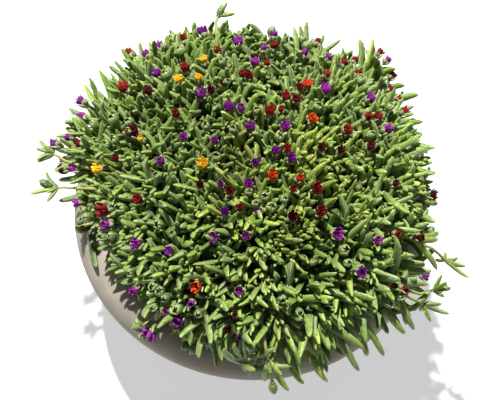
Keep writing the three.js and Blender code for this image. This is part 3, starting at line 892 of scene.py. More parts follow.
def new_tree(name: str, inputs: Sequence[tuple[str, str, object]]) -> tuple[NodeSheet, Node, Node]:
    """Starts a geometry tree with a geometry input and output.

    Args:
        name: The tree's name.
        inputs: Further inputs: name, kind of value and value.

    Returns:
        The sheet, the input node and the output node.
    """
    tree = bpy.data.node_groups.new(name, "GeometryNodeTree")
    tree.interface.new_socket("Geometry", in_out="INPUT", socket_type="NodeSocketGeometry")
    for label, kind, value in inputs:
        item = tree.interface.new_socket(label, in_out="INPUT", socket_type=f"NodeSocket{kind}")
        if value is not None:
            item.default_value = value
    tree.interface.new_socket("Geometry", in_out="OUTPUT", socket_type="NodeSocketGeometry")
    sheet = NodeSheet(tree)
    return sheet, sheet.add("NodeGroupInput"), sheet.add("NodeGroupOutput")


def end_tree(sheet: NodeSheet, given: Node, result: Node, shape: Node, soft: bool = True) -> Tree:
    """Ends a tree: makes its copies real and gives them their finish.

    Args:
        sheet: The tree's sheet.
        given: Its input node, which has the finish.
        result: Its output node.
        shape: The node that gives the shape.
        soft: Whether the shape is shaded smooth.

    Returns:
        The tree.
    """
    last = sheet.add("GeometryNodeRealizeInstances", {"Geometry": shape.outputs[0]})
    if soft:
        last = sheet.add("GeometryNodeSetShadeSmooth", {"Geometry": last.outputs[0], "Shade Smooth": True})
    inputs = {"Geometry": last.outputs[0], "Material": given.outputs["Finish"]}
    dressed = sheet.add("GeometryNodeSetMaterial", inputs)
    sheet.tree.links.new(dressed.outputs[0], result.inputs[0])
    return sheet.tree


def strand_tree() -> Tree:
    """The tree that gives every path a rounded, three-angled skin with closed ends."""
    sheet, given, result = new_tree("strand_skin", [
        ("Sides", "Int", 6), ("Corner", "Float", 0.1), ("Finish", "Material", None),
    ])
    curve = sheet.add("GeometryNodeMeshToCurve", {"Mesh": given.outputs["Geometry"]})
    sides = {"Resolution": given.outputs["Sides"], "Radius": 1.0}
    ring = sheet.add("GeometryNodeCurvePrimitiveCircle", sides)
    place = sheet.add("GeometryNodeInputPosition").outputs[0]
    parts = sheet.add("ShaderNodeSeparateXYZ", {0: place})
    turn = sheet.math("ARCTAN2", parts.outputs["Y"], parts.outputs["X"])
    wave = sheet.math("COSINE", sheet.times(turn, 3.0))
    corners = sheet.math("ADD", sheet.times(wave, given.outputs["Corner"]), 1.0)
    swell = sheet.add("ShaderNodeVectorMath", {0: place, "Scale": corners}, operation="SCALE")
    moved = {"Geometry": ring.outputs[0], "Position": swell.outputs[0]}
    section = sheet.add("GeometryNodeSetPosition", moved)
    marked = sheet.add("GeometryNodeStoreNamedAttribute", {
        "Geometry": section.outputs[0], "Name": "ridge", "Value": sheet.math("MAXIMUM", wave, 0.0),
    }, data_type="FLOAT", domain="POINT")
    skin = sheet.add("GeometryNodeCurveToMesh", {
        "Curve": curve.outputs[0], "Profile Curve": marked.outputs[0],
        "Scale": sheet.stored("girth", "FLOAT"), "Fill Caps": True,
    })
    return end_tree(sheet, given, result, skin)


def copy_tree() -> Tree:
    """The tree that puts a turned and stretched copy of a model on every point."""
    sheet, given, result = new_tree("model_copies", [("Model", "Object", None), ("Finish", "Material", None)])
    model = sheet.add("GeometryNodeObjectInfo", {"Object": given.outputs["Model"]})
    copies = sheet.add("GeometryNodeInstanceOnPoints", {
        "Points": given.outputs["Geometry"], "Instance": model.outputs["Geometry"],
        "Rotation": sheet.stored("turn", "FLOAT_VECTOR"), "Scale": sheet.stored("stretch", "FLOAT_VECTOR"),
    })
    return end_tree(sheet, given, result, copies)


def crumb_tree() -> Tree:
    """The tree that scatters crumbs over the upward faces of a bed."""
    sheet, given, result = new_tree("crumb_scatter", [
        ("Density", "Float", 20000.0), ("Smallest", "Float", 0.4), ("Largest", "Float", 1.6),
        ("Seed", "Int", 5), ("Model", "Object", None), ("Finish", "Material", None),
    ])
    seed = given.outputs["Seed"]
    rise = sheet.add("ShaderNodeSeparateXYZ", {0: sheet.add("GeometryNodeInputNormal").outputs[0]})
    spots = sheet.add("GeometryNodeDistributePointsOnFaces", {
        "Mesh": given.outputs["Geometry"], "Selection": sheet.math("GREATER_THAN", rise.outputs["Z"], 0.5),
        "Density": given.outputs["Density"], "Seed": seed,
    })
    model = sheet.add("GeometryNodeObjectInfo", {"Object": given.outputs["Model"]})
    size = sheet.add("FunctionNodeRandomValue", {
        2: given.outputs["Smallest"], 3: given.outputs["Largest"], "Seed": seed,
    }, data_type="FLOAT")
    turn = sheet.add("FunctionNodeRandomValue", {
        0: (0.0, 0.0, 0.0), 1: (6.28, 6.28, 6.28), "Seed": seed,
    }, data_type="FLOAT_VECTOR")
    copies = sheet.add("GeometryNodeInstanceOnPoints", {
        "Points": spots.outputs[0], "Instance": model.outputs["Geometry"],
        "Rotation": turn.outputs[0], "Scale": size.outputs[1],
    })
    return end_tree(sheet, given, result, copies, soft=False)


def coat(piece: Piece, finish: Material) -> None:
    """Gives a piece one material all over."""
    piece.data.materials.clear()
    piece.data.materials.append(finish)


@dataclass
class Paint(NodeSheet):
    """A material under construction, with its surface node."""

    material: Material
    surface: Node

    @classmethod
    def start(cls, name: str, roughness: float, specular: float) -> Paint:
        """Starts a material.

        Args:
            name: The material's name.
            roughness: How dull it is.
            specular: How strongly it reflects.

        Returns:
            The material's sheet.
        """
        material = bpy.data.materials.new(name)
        material.use_nodes = True
        paint = cls(material.node_tree, material, material.node_tree.nodes["Principled BSDF"])
        paint.set({"Roughness": roughness, "Specular IOR Level": specular})
        return paint

    def set(self, values: dict[str, object]) -> None:
        """Sets constants of the surface by their names."""
        for name, value in values.items():
            self.surface.inputs[name].default_value = value

    def place(self) -> Socket:
        """The place on the object."""
        return self.add("ShaderNodeTexCoord").outputs["Object"]

    def value(self, name: str) -> Socket:
        """The value that each point of the mesh holds under a name."""
        return self.add("ShaderNodeAttribute", attribute_name=name).outputs["Fac"]

    def grain(self, scale: float, detail: float = 3.0, place: Socket | None = None) -> Socket:
        """Noise over the object or over a place, with so many waves to a metre and finer layers."""
        inputs = {"Vector": self.place() if place is None else place, "Scale": scale, "Detail": detail}
        return self.add("ShaderNodeTexNoise", inputs).outputs[0]

    def beads(self, scale: float) -> Socket:
        """How far each place lies from the middle of its bead, with so many beads to a metre."""
        return self.add("ShaderNodeTexVoronoi", {"Vector": self.place(), "Scale": scale}).outputs["Distance"]

    def mix(self, share: object, low: object, high: object, kind: str = "MIX") -> Socket:
        """Mixes two colours.

        Args:
            share: How much of the second, a number or a socket.
            low: The first colour.
            high: The second colour.
            kind: The way they mix.

        Returns:
            The mixed colour's socket.
        """
        low, high = [(*tone, 1.0) if isinstance(tone, tuple) else tone for tone in (low, high)]
        inputs = {0: share, 6: low, 7: high}
        return self.add("ShaderNodeMix", inputs, data_type="RGBA", blend_type=kind).outputs[2]

    def ramp(self, value: object, stops: Stops) -> Socket:
        """A colour that follows a value.

        Args:
            value: The value's socket.
            stops: Places from 0 to 1, each with its colour.

        Returns:
            The colour's socket.
        """
        node = self.add("ShaderNodeValToRGB", {0: value})
        elements = node.color_ramp.elements
        while len(elements) < len(stops):
            elements.new(0.5)
        for element, (place, colour) in zip(elements, stops):
            element.position = place
            element.color = (*colour, 1.0)
        return node.outputs[0]

    def mottle(self, colour: Socket, share: float, value: Socket, stops: Stops) -> Socket:
        """A colour that tones darken and lighten, each at its value, where 1 leaves it as it is."""
        return self.mix(share, colour, self.ramp(value, stops), "MULTIPLY")

    def relief(self, height: Socket, strength: float, distance: float) -> None:
        """Gives the surface relief of a height's socket, with its strength and its depth in metres."""
        node = self.add("ShaderNodeBump", {"Height": height, "Strength": strength, "Distance": distance})
        self.tree.links.new(node.outputs[0], self.surface.inputs["Normal"])

    def end(self, colour: Socket) -> Material:
        """Gives the surface its colour and returns the material."""
        self.tree.links.new(colour, self.surface.inputs["Base Color"])
        return self.material


@dataclass(frozen=True)
class LeafFinish:
    """Fleshy leaves: deep green to yellow green, with painted highlights on the keels, fine cells with
    painted glints, and painted shade at the roots and deep in the mound.
    """

    deep: Colour = (0.043, 0.104, 0.010)
    fresh: Colour = (0.124, 0.224, 0.019)
    grey: Colour = (0.142, 0.212, 0.076)
    bright: Colour = (0.345, 0.44, 0.05)
    young: Colour = (0.385, 0.47, 0.098)
    # keel is the colour of the painted highlight along the leaves' ridges.
    keel: Colour = (0.56, 0.63, 0.31)
    blush: Colour = (0.42, 0.24, 0.10)
    # The colour of painted deep shade, inside the mound and low near the roots.
    painted_deep_shade: Colour = (0.018, 0.032, 0.009)
    glint: Colour = (0.92, 0.93, 0.78)
    roughness: float = 0.46
    young_share: float = 0.65
    tip_share: float = 0.35
    blush_share: float = 0.7
    blush_from: float = 0.965
    root_shade_share: float = 0.5
    ridge_highlight_share: float = 0.32
    glint_share: float = 0.3
    painted_shade_share: float = 0.8
    patches: float = 240.0
    cells: float = 1100.0
    bead_scale: float = 1300.0
    bead_relief: float = 0.45
    down: float = 0.12

    def make(self) -> Material:
        """The material: tones, painted shade at the roots and painted highlights on the keels, then patches,
        cells and painted glints, and last painted shade deep in the mound and low near the roots.
        """
        paint = Paint.start("leaf_flesh", self.roughness, 0.45)
        tint, along = paint.value("tint"), paint.value("along")
        body = paint.ramp(tint, [
            (0.0, self.deep), (0.3, self.fresh), (0.45, self.grey), (0.62, self.fresh), (1.0, self.bright),
        ])
        lively = paint.mix(paint.times(paint.value("young"), self.young_share), body, self.young)
        tip = paint.math("POWER", along, 3.0)
        pale = paint.mix(paint.times(tip, self.tip_share), lively, self.young)
        blushed = paint.times(paint.math("GREATER_THAN", tint, self.blush_from), tip)
        warm = paint.mix(paint.times(blushed, self.blush_share), pale, self.blush)
        # Painted shade: each leaf darker towards its root, where the leaves crowd on the stem.
        root = paint.times(paint.math("SUBTRACT", 1.0, paint.times(along, 3.0)), self.root_shade_share)
        rooted = paint.mix(paint.math("MAXIMUM", root, 0.0), warm, self.deep)
        # Painted highlight: paler along the ridges, where light catches the leaf's edges.
        ridge = paint.math("POWER", paint.value("ridge"), 4.0)
        ridge_lit = paint.mix(paint.times(ridge, self.ridge_highlight_share), rooted, self.keel)
        patched = paint.mottle(ridge_lit, 0.6, paint.grain(self.patches, 4.0), [
            (0.3, (0.5, 0.56, 0.46)), (0.7, (1.4, 1.34, 1.2)),
        ])
        shaded = paint.mottle(patched, 0.4, paint.grain(self.cells, 2.0), [
            (0.36, (0.36, 0.4, 0.36)), (0.64, (1.6, 1.55, 1.5)),
        ])
        # Painted glints: pale spots at the middle of each bead of the leaf's skin.
        beads = paint.beads(self.bead_scale)
        sparkle = paint.ramp(beads, [(0.0, (1.0, 1.0, 1.0)), (0.28, (0.0, 0.0, 0.0))])
        lit = paint.mix(paint.times(sparkle, self.glint_share), shaded, self.glint)
        paint.relief(paint.math("SUBTRACT", 1.0, beads), self.bead_relief, 0.0004)
        paint.set({
            "Subsurface Weight": 0.3, "Subsurface Radius": (0.8, 1.0, 0.2), "Subsurface Scale": 0.0025,
            "Sheen Weight": self.down, "Sheen Roughness": 0.35, "Sheen Tint": (1.0, 1.0, 0.8, 1.0),
        })
        # Painted shade: the depth value darkens the leaf towards the deep shade colour.
        return paint.end(paint.mix(paint.times(paint.value("depth"), self.painted_shade_share), lit, self.painted_deep_shade))


@dataclass(frozen=True)
class CupFinish:
    """Buds and cups: grey green and mottled, with pale edges."""

    name: str = "bud_green"
    dull: Colour = (0.060, 0.105, 0.025)
    grey: Colour = (0.12, 0.18, 0.045)
    edge: Colour = (0.27, 0.33, 0.12)
    inner: Colour = (0.06, 0.085, 0.025)
    roughness: float = 0.42
    patches: float = 620.0
    bead_scale: float = 1500.0
    bead_relief: float = 0.5
    down: float = 0.1

    def make(self) -> Material:
        """The material. An edge value below zero marks the inner sepals, which are darker."""
        paint = Paint.start(self.name, self.roughness, 0.5)
        edge = paint.value("edge")
        body = paint.mix(paint.value("tint"), self.dull, self.grey)
        edged = paint.mix(paint.math("MINIMUM", paint.times(edge, 1.1), 1.0), body, self.edge)
        inner = paint.mix(paint.math("LESS_THAN", edge, -0.5), edged, self.inner)
        paint.relief(paint.math("SUBTRACT", 1.0, paint.beads(self.bead_scale)), self.bead_relief, 0.0004)
        paint.set({"Sheen Weight": self.down, "Sheen Roughness": 0.3, "Sheen Tint": (0.95, 1.0, 0.85, 1.0)})
        return paint.end(paint.mottle(inner, 0.8, paint.grain(self.patches), [
            (0.34, (0.42, 0.45, 0.4)), (0.66, (1.4, 1.38, 1.3)),
        ]))


@dataclass(frozen=True)
class PetalFinish:
    """Silky petals with a foot of their own colour."""

    foot: Colour
    body: Colour
    lit: Colour
    night: Colour
    veins: float = 900.0
    ribs: float = 1600.0

    def make(self, name: str) -> Material:
        """The material under a name."""
        paint = Paint.start(name, 0.6, 0.12)
        body = paint.mix(paint.value("tint"), self.body, self.lit)
        above = paint.math("MINIMUM", paint.times(paint.value("along"), 1.8), 1.0)
        dusky = paint.mix(paint.value("dark"), paint.mix(above, self.foot, body), self.night)
        paint.relief(paint.grain(self.ribs), 0.2, 0.0002)
        return paint.end(paint.mottle(dusky, 0.5, paint.grain(self.veins), [
            (0.3, (0.7, 0.7, 0.7)), (0.7, (1.25, 1.25, 1.25)),
        ]))


PETALS = {
    Hue.PURPLE: PetalFinish(
        (0.1, 0.004, 0.08), (0.075, 0.007, 0.14), (0.32, 0.028, 0.28), (0.05, 0.003, 0.05),
    ),
    Hue.RED: PetalFinish(
        (0.08, 0.006, 0.006), (0.09, 0.006, 0.007), (0.27, 0.019, 0.009), (0.04, 0.003, 0.006),
    ),
    Hue.ORANGE: PetalFinish(
        (0.8, 0.52, 0.16), (0.42, 0.035, 0.008), (0.56, 0.07, 0.012), (0.2, 0.02, 0.01),
    ),
    Hue.YELLOW: PetalFinish(
        (0.5, 0.22, 0.01), (0.6, 0.34, 0.012), (0.72, 0.46, 0.025), (0.4, 0.2, 0.01),
    ),
}


@dataclass(frozen=True)
class StemFinish:
    """Tan to green stems with a rough skin."""

    bark: Colour = (0.16, 0.095, 0.045)
    green: Colour = (0.30, 0.33, 0.10)
    scale: float = 500.0

    def make(self) -> Material:
        """The material."""
        paint = Paint.start("stem_skin", 0.6, 0.3)
        fresh = paint.math("MAXIMUM", paint.value("along"), paint.value("young"))
        rough = paint.grain(self.scale, 4.0)
        paint.relief(rough, 0.5, 0.0004)
        return paint.end(paint.mottle(paint.mix(fresh, self.bark, self.green), 0.6, rough, [
            (0.3, (0.55, 0.5, 0.45)), (0.7, (1.25, 1.2, 1.1)),
        ]))


@dataclass(frozen=True)
class RoughFinish:
    """A dull crumbly surface whose tones and relief follow one noise."""

    name: str
    tones: Stops
    roughness: float
    scale: float
    detail: float
    depth: float

    def make(self) -> Material:
        """The material."""
        paint = Paint.start(self.name, self.roughness, 0.15)
        rough = paint.grain(self.scale, self.detail)
        paint.relief(rough, 0.8, self.depth)
        return paint.end(paint.ramp(rough, self.tones))


# The crowded inner growth, dark green and brown as painted deep shade, and the dark potting soil with pale
# crumbs.
INNER_SHADE = RoughFinish("inner_shade", (
    (0.35, (0.010, 0.016, 0.005)), (0.55, (0.035, 0.055, 0.014)), (0.75, (0.06, 0.035, 0.018)),
), roughness=0.8, scale=180.0, detail=4.0, depth=0.003)
POTTING_SOIL = RoughFinish("potting_soil", (
    (0.3, (0.018, 0.012, 0.008)), (0.7, (0.085, 0.058, 0.036)),
), roughness=0.92, scale=320.0, detail=6.0, depth=0.002)


@dataclass(frozen=True)
class PotFinish:
    """Beige moulded planter with fine streaks that run round it."""

    beige: Colour = (0.262, 0.224, 0.175)
    dusty: Colour = (0.32, 0.28, 0.227)
    dull: Colour = (0.208, 0.178, 0.139)
    # The painted shade: a colour that darkens the rim low on its front, which faces away from the key light.
    painted_front_shade: Colour = (0.66, 0.65, 0.63)
    painted_shade_low: float = 0.116
    painted_shade_high: float = 0.127
    painted_shade_start: float = -0.055
    painted_shade_full: float = -0.125
    painted_shade_waver: float = 0.003
    streak_scale: float = 900.0
    streak_turn: float = 0.004
    cloud_scale: float = 28.0
    speck_scale: float = 1100.0

    def make(self) -> Material:
        """The material, with painted shade low on the front of the rim."""
        paint = Paint.start("planter_skin", 0.55, 0.35)
        x, y, z = paint.add("ShaderNodeSeparateXYZ", {0: paint.place()}).outputs
        square = paint.math("ADD", paint.math("POWER", x, 2.0), paint.math("POWER", y, 2.0))
        reach = paint.math("SQRT", square)
        turn = paint.times(paint.math("ARCTAN2", y, x), self.streak_turn)
        wound = paint.add("ShaderNodeCombineXYZ", {0: reach, 1: turn, 2: z}).outputs[0]
        streaks = paint.grain(self.streak_scale, 2.0, wound)
        cloud = paint.grain(self.cloud_scale, 4.0)
        body = paint.ramp(cloud, [(0.3, self.dull), (0.5, self.beige), (0.72, self.dusty)])
        lined = paint.mottle(body, 0.35, streaks, [(0.3, (0.62, 0.6, 0.58)), (0.7, (1.2, 1.2, 1.2))])
        # Painted shade: darker low on the rim's front, fading upwards and towards the back.
        height = paint.math("ADD", z, paint.times(cloud, self.painted_shade_waver))
        low = paint.add("ShaderNodeMapRange", {0: height, 1: self.painted_shade_high, 2: self.painted_shade_low}).outputs[0]
        ahead = paint.add("ShaderNodeMapRange", {0: y, 1: self.painted_shade_start, 2: self.painted_shade_full}).outputs[0]
        front_shaded = paint.mix(paint.times(low, ahead), lined, paint.mix(1.0, lined, self.painted_front_shade, "MULTIPLY"))
        paint.relief(streaks, 0.25, 0.0004)
        return paint.end(paint.mottle(front_shaded, 0.5, paint.grain(self.speck_scale, 2.0), [
            (0.28, (0.5, 0.45, 0.4)), (0.36, (1.0, 1.0, 1.0)),
        ]))


@dataclass(frozen=True)
class FloorFinish:
    """Plain pale ground that glows a little."""

    pale: Colour = (0.5, 0.5, 0.5)
    paler: Colour = (0.515, 0.515, 0.515)
    glow: float = 0.5

    def make(self) -> Material:
        """The material."""
        paint = Paint.start("pale_floor", 0.9, 0.1)
        paint.set({"Emission Color": (1.0, 1.0, 1.0, 1.0), "Emission Strength": self.glow})
        return paint.end(paint.ramp(paint.grain(3.0, 1.0), [(0.0, self.pale), (1.0, self.paler)]))


def ride_and_slot(piece: Piece, slot: str, *nodes: str) -> None:
    """Gives a finished piece its body and hides the frame's nodes that it stands for.

    Args:
        piece: The piece.
        slot: Not used.
        *nodes: The frame's nodes that the piece replaces.
    """
    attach(piece, ROOT_BODY)
    if nodes:
        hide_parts(*nodes)
    log.info("%s: %d faces", piece.name, len(piece.data.polygons))


@dataclass
class Strands:
    """Paths of changing thickness that become one piece: leaves or stems."""

    name: str
    shade_height: float = 22.0
    shade_fade: float = 34.0
    shade_depth: float = 0.3
    root_shade: float = 0.9
    points: list[np.ndarray] = field(default_factory=list)
    values: dict[str, list[np.ndarray]] = field(default_factory=lambda: defaultdict(list))

    def shade(self, path: np.ndarray) -> np.ndarray:
        """How much painted shade a path takes: deep within the mound, or low on it and near its root.

        Args:
            path: The path's points.

        Returns:
            The shade at each point, from 0 to 1.
        """
        rooted = np.linspace(1.0, 0.0, len(path))
        low = np.clip((MOUND.z + self.shade_height - path[:, 2]) / self.shade_fade, 0, 1)
        # Painted shade: darker the deeper in the mound, and low on it near the root.
        painted_deep_shade = np.array([1 - MOUND.reach(point) for point in path]) / self.shade_depth
        return np.clip(np.maximum(painted_deep_shade, self.root_shade * low * rooted ** 0.7), 0, 1)

    def add(self, path: np.ndarray, girth: np.ndarray, tint: float = 0.5, young: float = 0.0) -> None:
        """Adds a path.

        Args:
            path: Its points from root to tip.
            girth: Half its thickness at each point.
            tint: Its place between deep and bright.
            young: How young it is.
        """
        count = len(path)
        self.points.append(path)
        self.values["girth"].append(girth * MM)
        self.values["along"].append(np.linspace(0.0, 1.0, count))
        self.values["tint"].append(np.full(count, tint))
        self.values["young"].append(np.full(count, young))
        # The painted shade for the leaf finish, stored under the name depth.
        self.values["depth"].append(self.shade(path))

    def build(self, tree: Tree, sides: int, corner: float, finish: Material) -> Piece:
        """Turns the paths into one piece.

        Args:
            tree: The tree that skins them.
            sides: Corners of their section.
            corner: How far three of those corners stand out.
            finish: Their material.

        Returns:
            The piece.
        """
        edges, start = [], 0
        for path in self.points:
            edges += [(start + i, start + i + 1) for i in range(len(path) - 1)]
            start += len(path)
        piece = link_mesh(self.name, np.vstack(self.points), [], edges)
        for name, values in self.values.items():
            add_values(piece, name, np.concatenate(values))
        return run_nodes(piece, tree, {"Sides": sides, "Corner": corner, "Finish": finish})


@dataclass
class Copies:
    """Turned and stretched copies of a model that become one piece."""

    name: str
    rows: list[tuple] = field(default_factory=list)

    def add(
        self, place: Point, up: Point, out: Point, size: Sequence[float], tint: float, dark: float = 0.0,
    ) -> None:
        """Adds a copy.

        Args:
            place: Where the model's foot goes.
            up: Where its length points.
            out: Where its outer face points.
            size: Its scale across, along its width and along its length.
            tint: Its place between two tones.
            dark: How dark it is.
        """
        side = unit(np.cross(up, out))
        turn = Matrix([np.cross(side, up), side, up]).transposed().to_euler("XYZ")
        self.rows.append((place, tuple(turn), tuple(size), tint, dark))

    def build(self, tree: Tree, model: Piece, finish: Material) -> Piece:
        """Turns the copies into one piece.

        Args:
            tree: The tree that copies the model.
            model: The model.
            finish: Their material.

        Returns:
            The piece.
        """
        places, turns, sizes, tints, darks = zip(*self.rows)
        piece = link_mesh(self.name, np.array(places), [])
        add_values(piece, "turn", turns, "FLOAT_VECTOR")
        add_values(piece, "stretch", sizes, "FLOAT_VECTOR")
        add_values(piece, "tint", tints)
        add_values(piece, "dark", darks)
        return run_nodes(piece, tree, {"Model": model, "Finish": finish})


def link_model(
    name: str, points: Sequence, faces: Sequence, shares: Sequence[float], edges: Sequence[float],
) -> Piece:
    """Makes a model for copies, with the values that its finish follows.

    Args:
        name: The model's name.
        points: Its points.
        faces: Its faces as lists of point numbers.
        shares: Each point's share of the way from foot to tip.
        edges: How far each point belongs to a pale edge.

    Returns:
        The model.
    """
    model = link_mesh(name, np.array(points), faces)
    add_values(model, "along", shares)
    add_values(model, "edge", edges)
    return model


@dataclass(frozen=True)
class Blade:
    """A flat or plump leaf-like model that grows along Z, with its outer face towards +X.

    Its rows give the share of the length, the half width, the half thickness and the outward bend.
    """

    name: str
    rows: tuple[tuple[float, float, float, float], ...]
    length: float

    def build(self) -> Piece:
        """The model, six points to a row, closed over a point at both ends."""
        points, shares, edges = [[self.rows[0][3], 0.0, 0.0]], [0.0], [0.0]
        for share, half, thick, bend in self.rows:
            for turn in (0, 60, 120, 180, 240, 300):
                angle = math.radians(turn)
                points.append([bend + thick * math.cos(angle), half * math.sin(angle), share * self.length])
                shares.append(share)
                edges.append(abs(math.sin(angle)) ** 6)
        points.append([self.rows[-1][3], 0.0, self.length])
        return link_model(self.name, points, revolve_faces(len(self.rows), 6), [*shares, 1.0], [*edges, 1.0])


@dataclass
class Planter:
    """The pot: a tapered wall under a broad rounded rim, with drainage holes in its floor."""

    rim_opening: float = 98.0
    roll_turn: float = 0.62
    roll_steps: int = 24
    lip_bottom: float = 103.0
    wall_top: float = 121.0
    foot: float = 88.0
    wall: float = 6.0
    floor: float = 8.0
    soil_radius: float = 91.8
    soil_seat: float = 101.0
    drain_radius: float = 6.0
    drain_circle: float = 50.0
    drain_sides: int = 24
    crease: float = 50.0
    segments: int = 160

    def profile(self) -> list[tuple[float, float]]:
        """The section, from the middle of the base, round the outside, to the middle of the floor."""
        foot, lip, inner = self.foot, self.lip_bottom, self.foot - self.wall
        points = [(0.0, 0.0), (foot - 6, 0.0), (foot - 4, 0.0), (foot - 1.2, 1.2), (foot, 4.0)]
        points += [(between(foot, self.wall_top, t), between(4.0, lip - 2, t)) for t in (0.05, 0.5, 0.97)]
        points += [(self.wall_top, lip - 1.2), (self.wall_top + 1.5, lip - 0.3)]
        points += [(RIM.outer_radius - 5, lip), (RIM.outer_radius - 1.6, lip + 0.5)]
        points.append((RIM.outer_radius - 0.3, lip + 2.0))
        middle, level = RIM.centre_radius, RIM.centre_height
        wide, high = RIM.outer_radius - middle, RIM.top - level
        for i in range(self.roll_steps + 1):
            turn = math.pi * self.roll_turn * i / self.roll_steps
            points.append((middle + wide * math.cos(turn), level + high * math.sin(turn)))
        points += [(self.rim_opening + 1.6, RIM.top - 4.5), (self.rim_opening, RIM.top - 8)]
        points += [(self.soil_radius + 0.2, self.soil_seat + 2), (self.soil_radius, self.soil_seat)]
        points += [(inner + 0.2, self.floor + 5), (inner - 1.2, self.floor + 1.2)]
        points += [(inner - 4, self.floor), (0.0, self.floor)]
        return points

    def build(self) -> Piece:
        """The pot's mesh, turned and then drilled."""
        pot = revolve("planter", self.profile(), self.segments)
        drill = self.drills()
        cut = pot.modifiers.new("drains", "BOOLEAN")
        cut.operation, cut.solver, cut.object = "DIFFERENCE", "EXACT", drill
        keep_result(pot)
        bpy.data.objects.remove(drill)
        pot.data.set_sharp_from_angle(angle=math.radians(self.crease))
        return pot

    def drills(self) -> Piece:
        """The four drainage holes as one object of rods."""
        points, faces, sides, radius = [], [], self.drain_sides, self.drain_radius
        for quarter in range(4):
            turn = math.pi / 2 * (quarter + 0.5)
            x, y = self.drain_circle * math.cos(turn), self.drain_circle * math.sin(turn)
            start = len(points)
            for height in (-5.0, self.floor + 5):
                for i in range(sides):
                    angle = 2 * math.pi * i / sides
                    points.append([x + radius * math.cos(angle), y + radius * math.sin(angle), height])
            faces.append([start + i for i in reversed(range(sides))])
            faces.append([start + sides + i for i in range(sides)])
            for i in range(sides):
                j = (i + 1) % sides
                faces.append([start + i, start + j, start + sides + j, start + sides + i])
        return link_mesh("drain_rods", np.array(points), faces)

    def dress(self, pot: Piece) -> None:
        """Gives the pot its finish and its place in the frame."""
        coat(pot, PotFinish().make())
        ride_and_slot(pot, "pot", "pot")


@dataclass
class SoilBed:
    """The soil in the pot, uneven on top and strewn with crumbs."""

    edge: float = 107.0
    crown: float = 111.0
    radius: float = 91.5
    seat: float = 101.0
    floor: float = 8.3
    foot: float = 77.7
    lip: float = 0.8
    rings: int = 16
    lump_scale: float = 90.0
    crumb_density: float = 26000.0
    segments: int = 96

    def build(self) -> Piece:
        """The soil's mesh with a lumpy top."""
        profile = [(0.0, self.floor), (self.foot, self.floor), (self.foot + 4, self.floor + 4)]
        wide = self.radius + self.lip
        profile += [(self.radius, self.seat), (wide, self.edge)]
        for i in range(1, self.rings):
            share = 1 - i / self.rings
            profile.append((wide * share, between(self.crown, self.edge, share ** 2)))
        profile.append((0.0, self.crown))
        bed = revolve("soil_bed", profile, self.segments)
        for vertex in bed.data.vertices:
            if vertex.co.z > self.edge * MM - 1e-6:
                lump = noise.fractal(vertex.co * self.lump_scale, 1.0, 2.0, 4)
                vertex.co.z += min(0.0012, max(-0.0015, lump * 0.0014))
        return bed

    def crumbs(self, bed: Piece, finish: Material) -> Piece:
        """Crumbs that lie on the soil.

        Args:
            bed: The soil.
            finish: Their material.

        Returns:
            The crumbs as one piece.
        """
        rows = ((0.2, 0.7, 0.6, 0.0), (0.6, 0.9, 0.7, 0.1), (0.85, 0.5, 0.5, 0.0))
        model = Blade("crumb", rows, 1.5).build()
        crumbs = bpy.data.objects.new("soil_crumbs", bed.data.copy())
        bpy.context.scene.collection.objects.link(crumbs)
        run_nodes(crumbs, crumb_tree(), {
            "Density": self.crumb_density, "Smallest": 0.35, "Largest": 1.2, "Seed": 5,
            "Model": model, "Finish": finish,
        })
        bpy.data.objects.remove(model)
        return crumbs

    def dress(self, bed: Piece) -> None:
        """Gives the soil and its crumbs their finish and their place in the frame.

        Args:
            bed: The soil.
        """
        finish = POTTING_SOIL.make()
        crumbs = self.crumbs(bed, finish)
        coat(bed, finish)
        ride_and_slot(bed, "soil", "soil")
        ride_and_slot(crumbs, "soil")


@dataclass
class InnerGrowth:
    """The crowded leaves and stems deep in the mound, as one uneven mass, painted dark as deep shade."""

    inset: float = 25.0
    bottom: float = 131.5
    lump: float = 3.0
    lump_scale: float = 120.0
    segments: int = 96
    rows: int = 22

    def build(self) -> Piece:
        """The mass's mesh."""
        wide, tall = MOUND.wide - self.inset, MOUND.tall - self.inset
        profile = [(reach, self.bottom) for reach in (0.0, wide * 0.5, wide - 6)]
        profile.append((wide - 2, self.bottom + 3))
        for i in range(self.rows):
            turn = math.pi / 2 * (i / self.rows)
            profile.append((wide * math.cos(turn), MOUND.z + tall * math.sin(turn)))
        profile.append((0.0, MOUND.z + tall))
        mass = revolve("inner_growth", profile, self.segments)
        for vertex in mass.data.vertices:
            azimuth = math.atan2(vertex.co.y, vertex.co.x)
            lobe = MOUND.radius(azimuth) / MOUND.wide
            vertex.co.x = vertex.co.x * lobe + MOUND.x * MM
            vertex.co.y = vertex.co.y * lobe + MOUND.y * MM
            if vertex.co.z > self.bottom * MM + 1e-5:
                away = vertex.co - Vector(MOUND.centre()) * MM
                lump = noise.fractal(vertex.co * self.lump_scale, 1.0, 2.0, 3)
                vertex.co += away.normalized() * (lump * self.lump * MM)
        return mass

    def dress(self, mass: Piece) -> None:
        """Gives the mass its finish and its place in the frame."""
        coat(mass, INNER_SHADE.make())
        ride_and_slot(mass, "foliage")


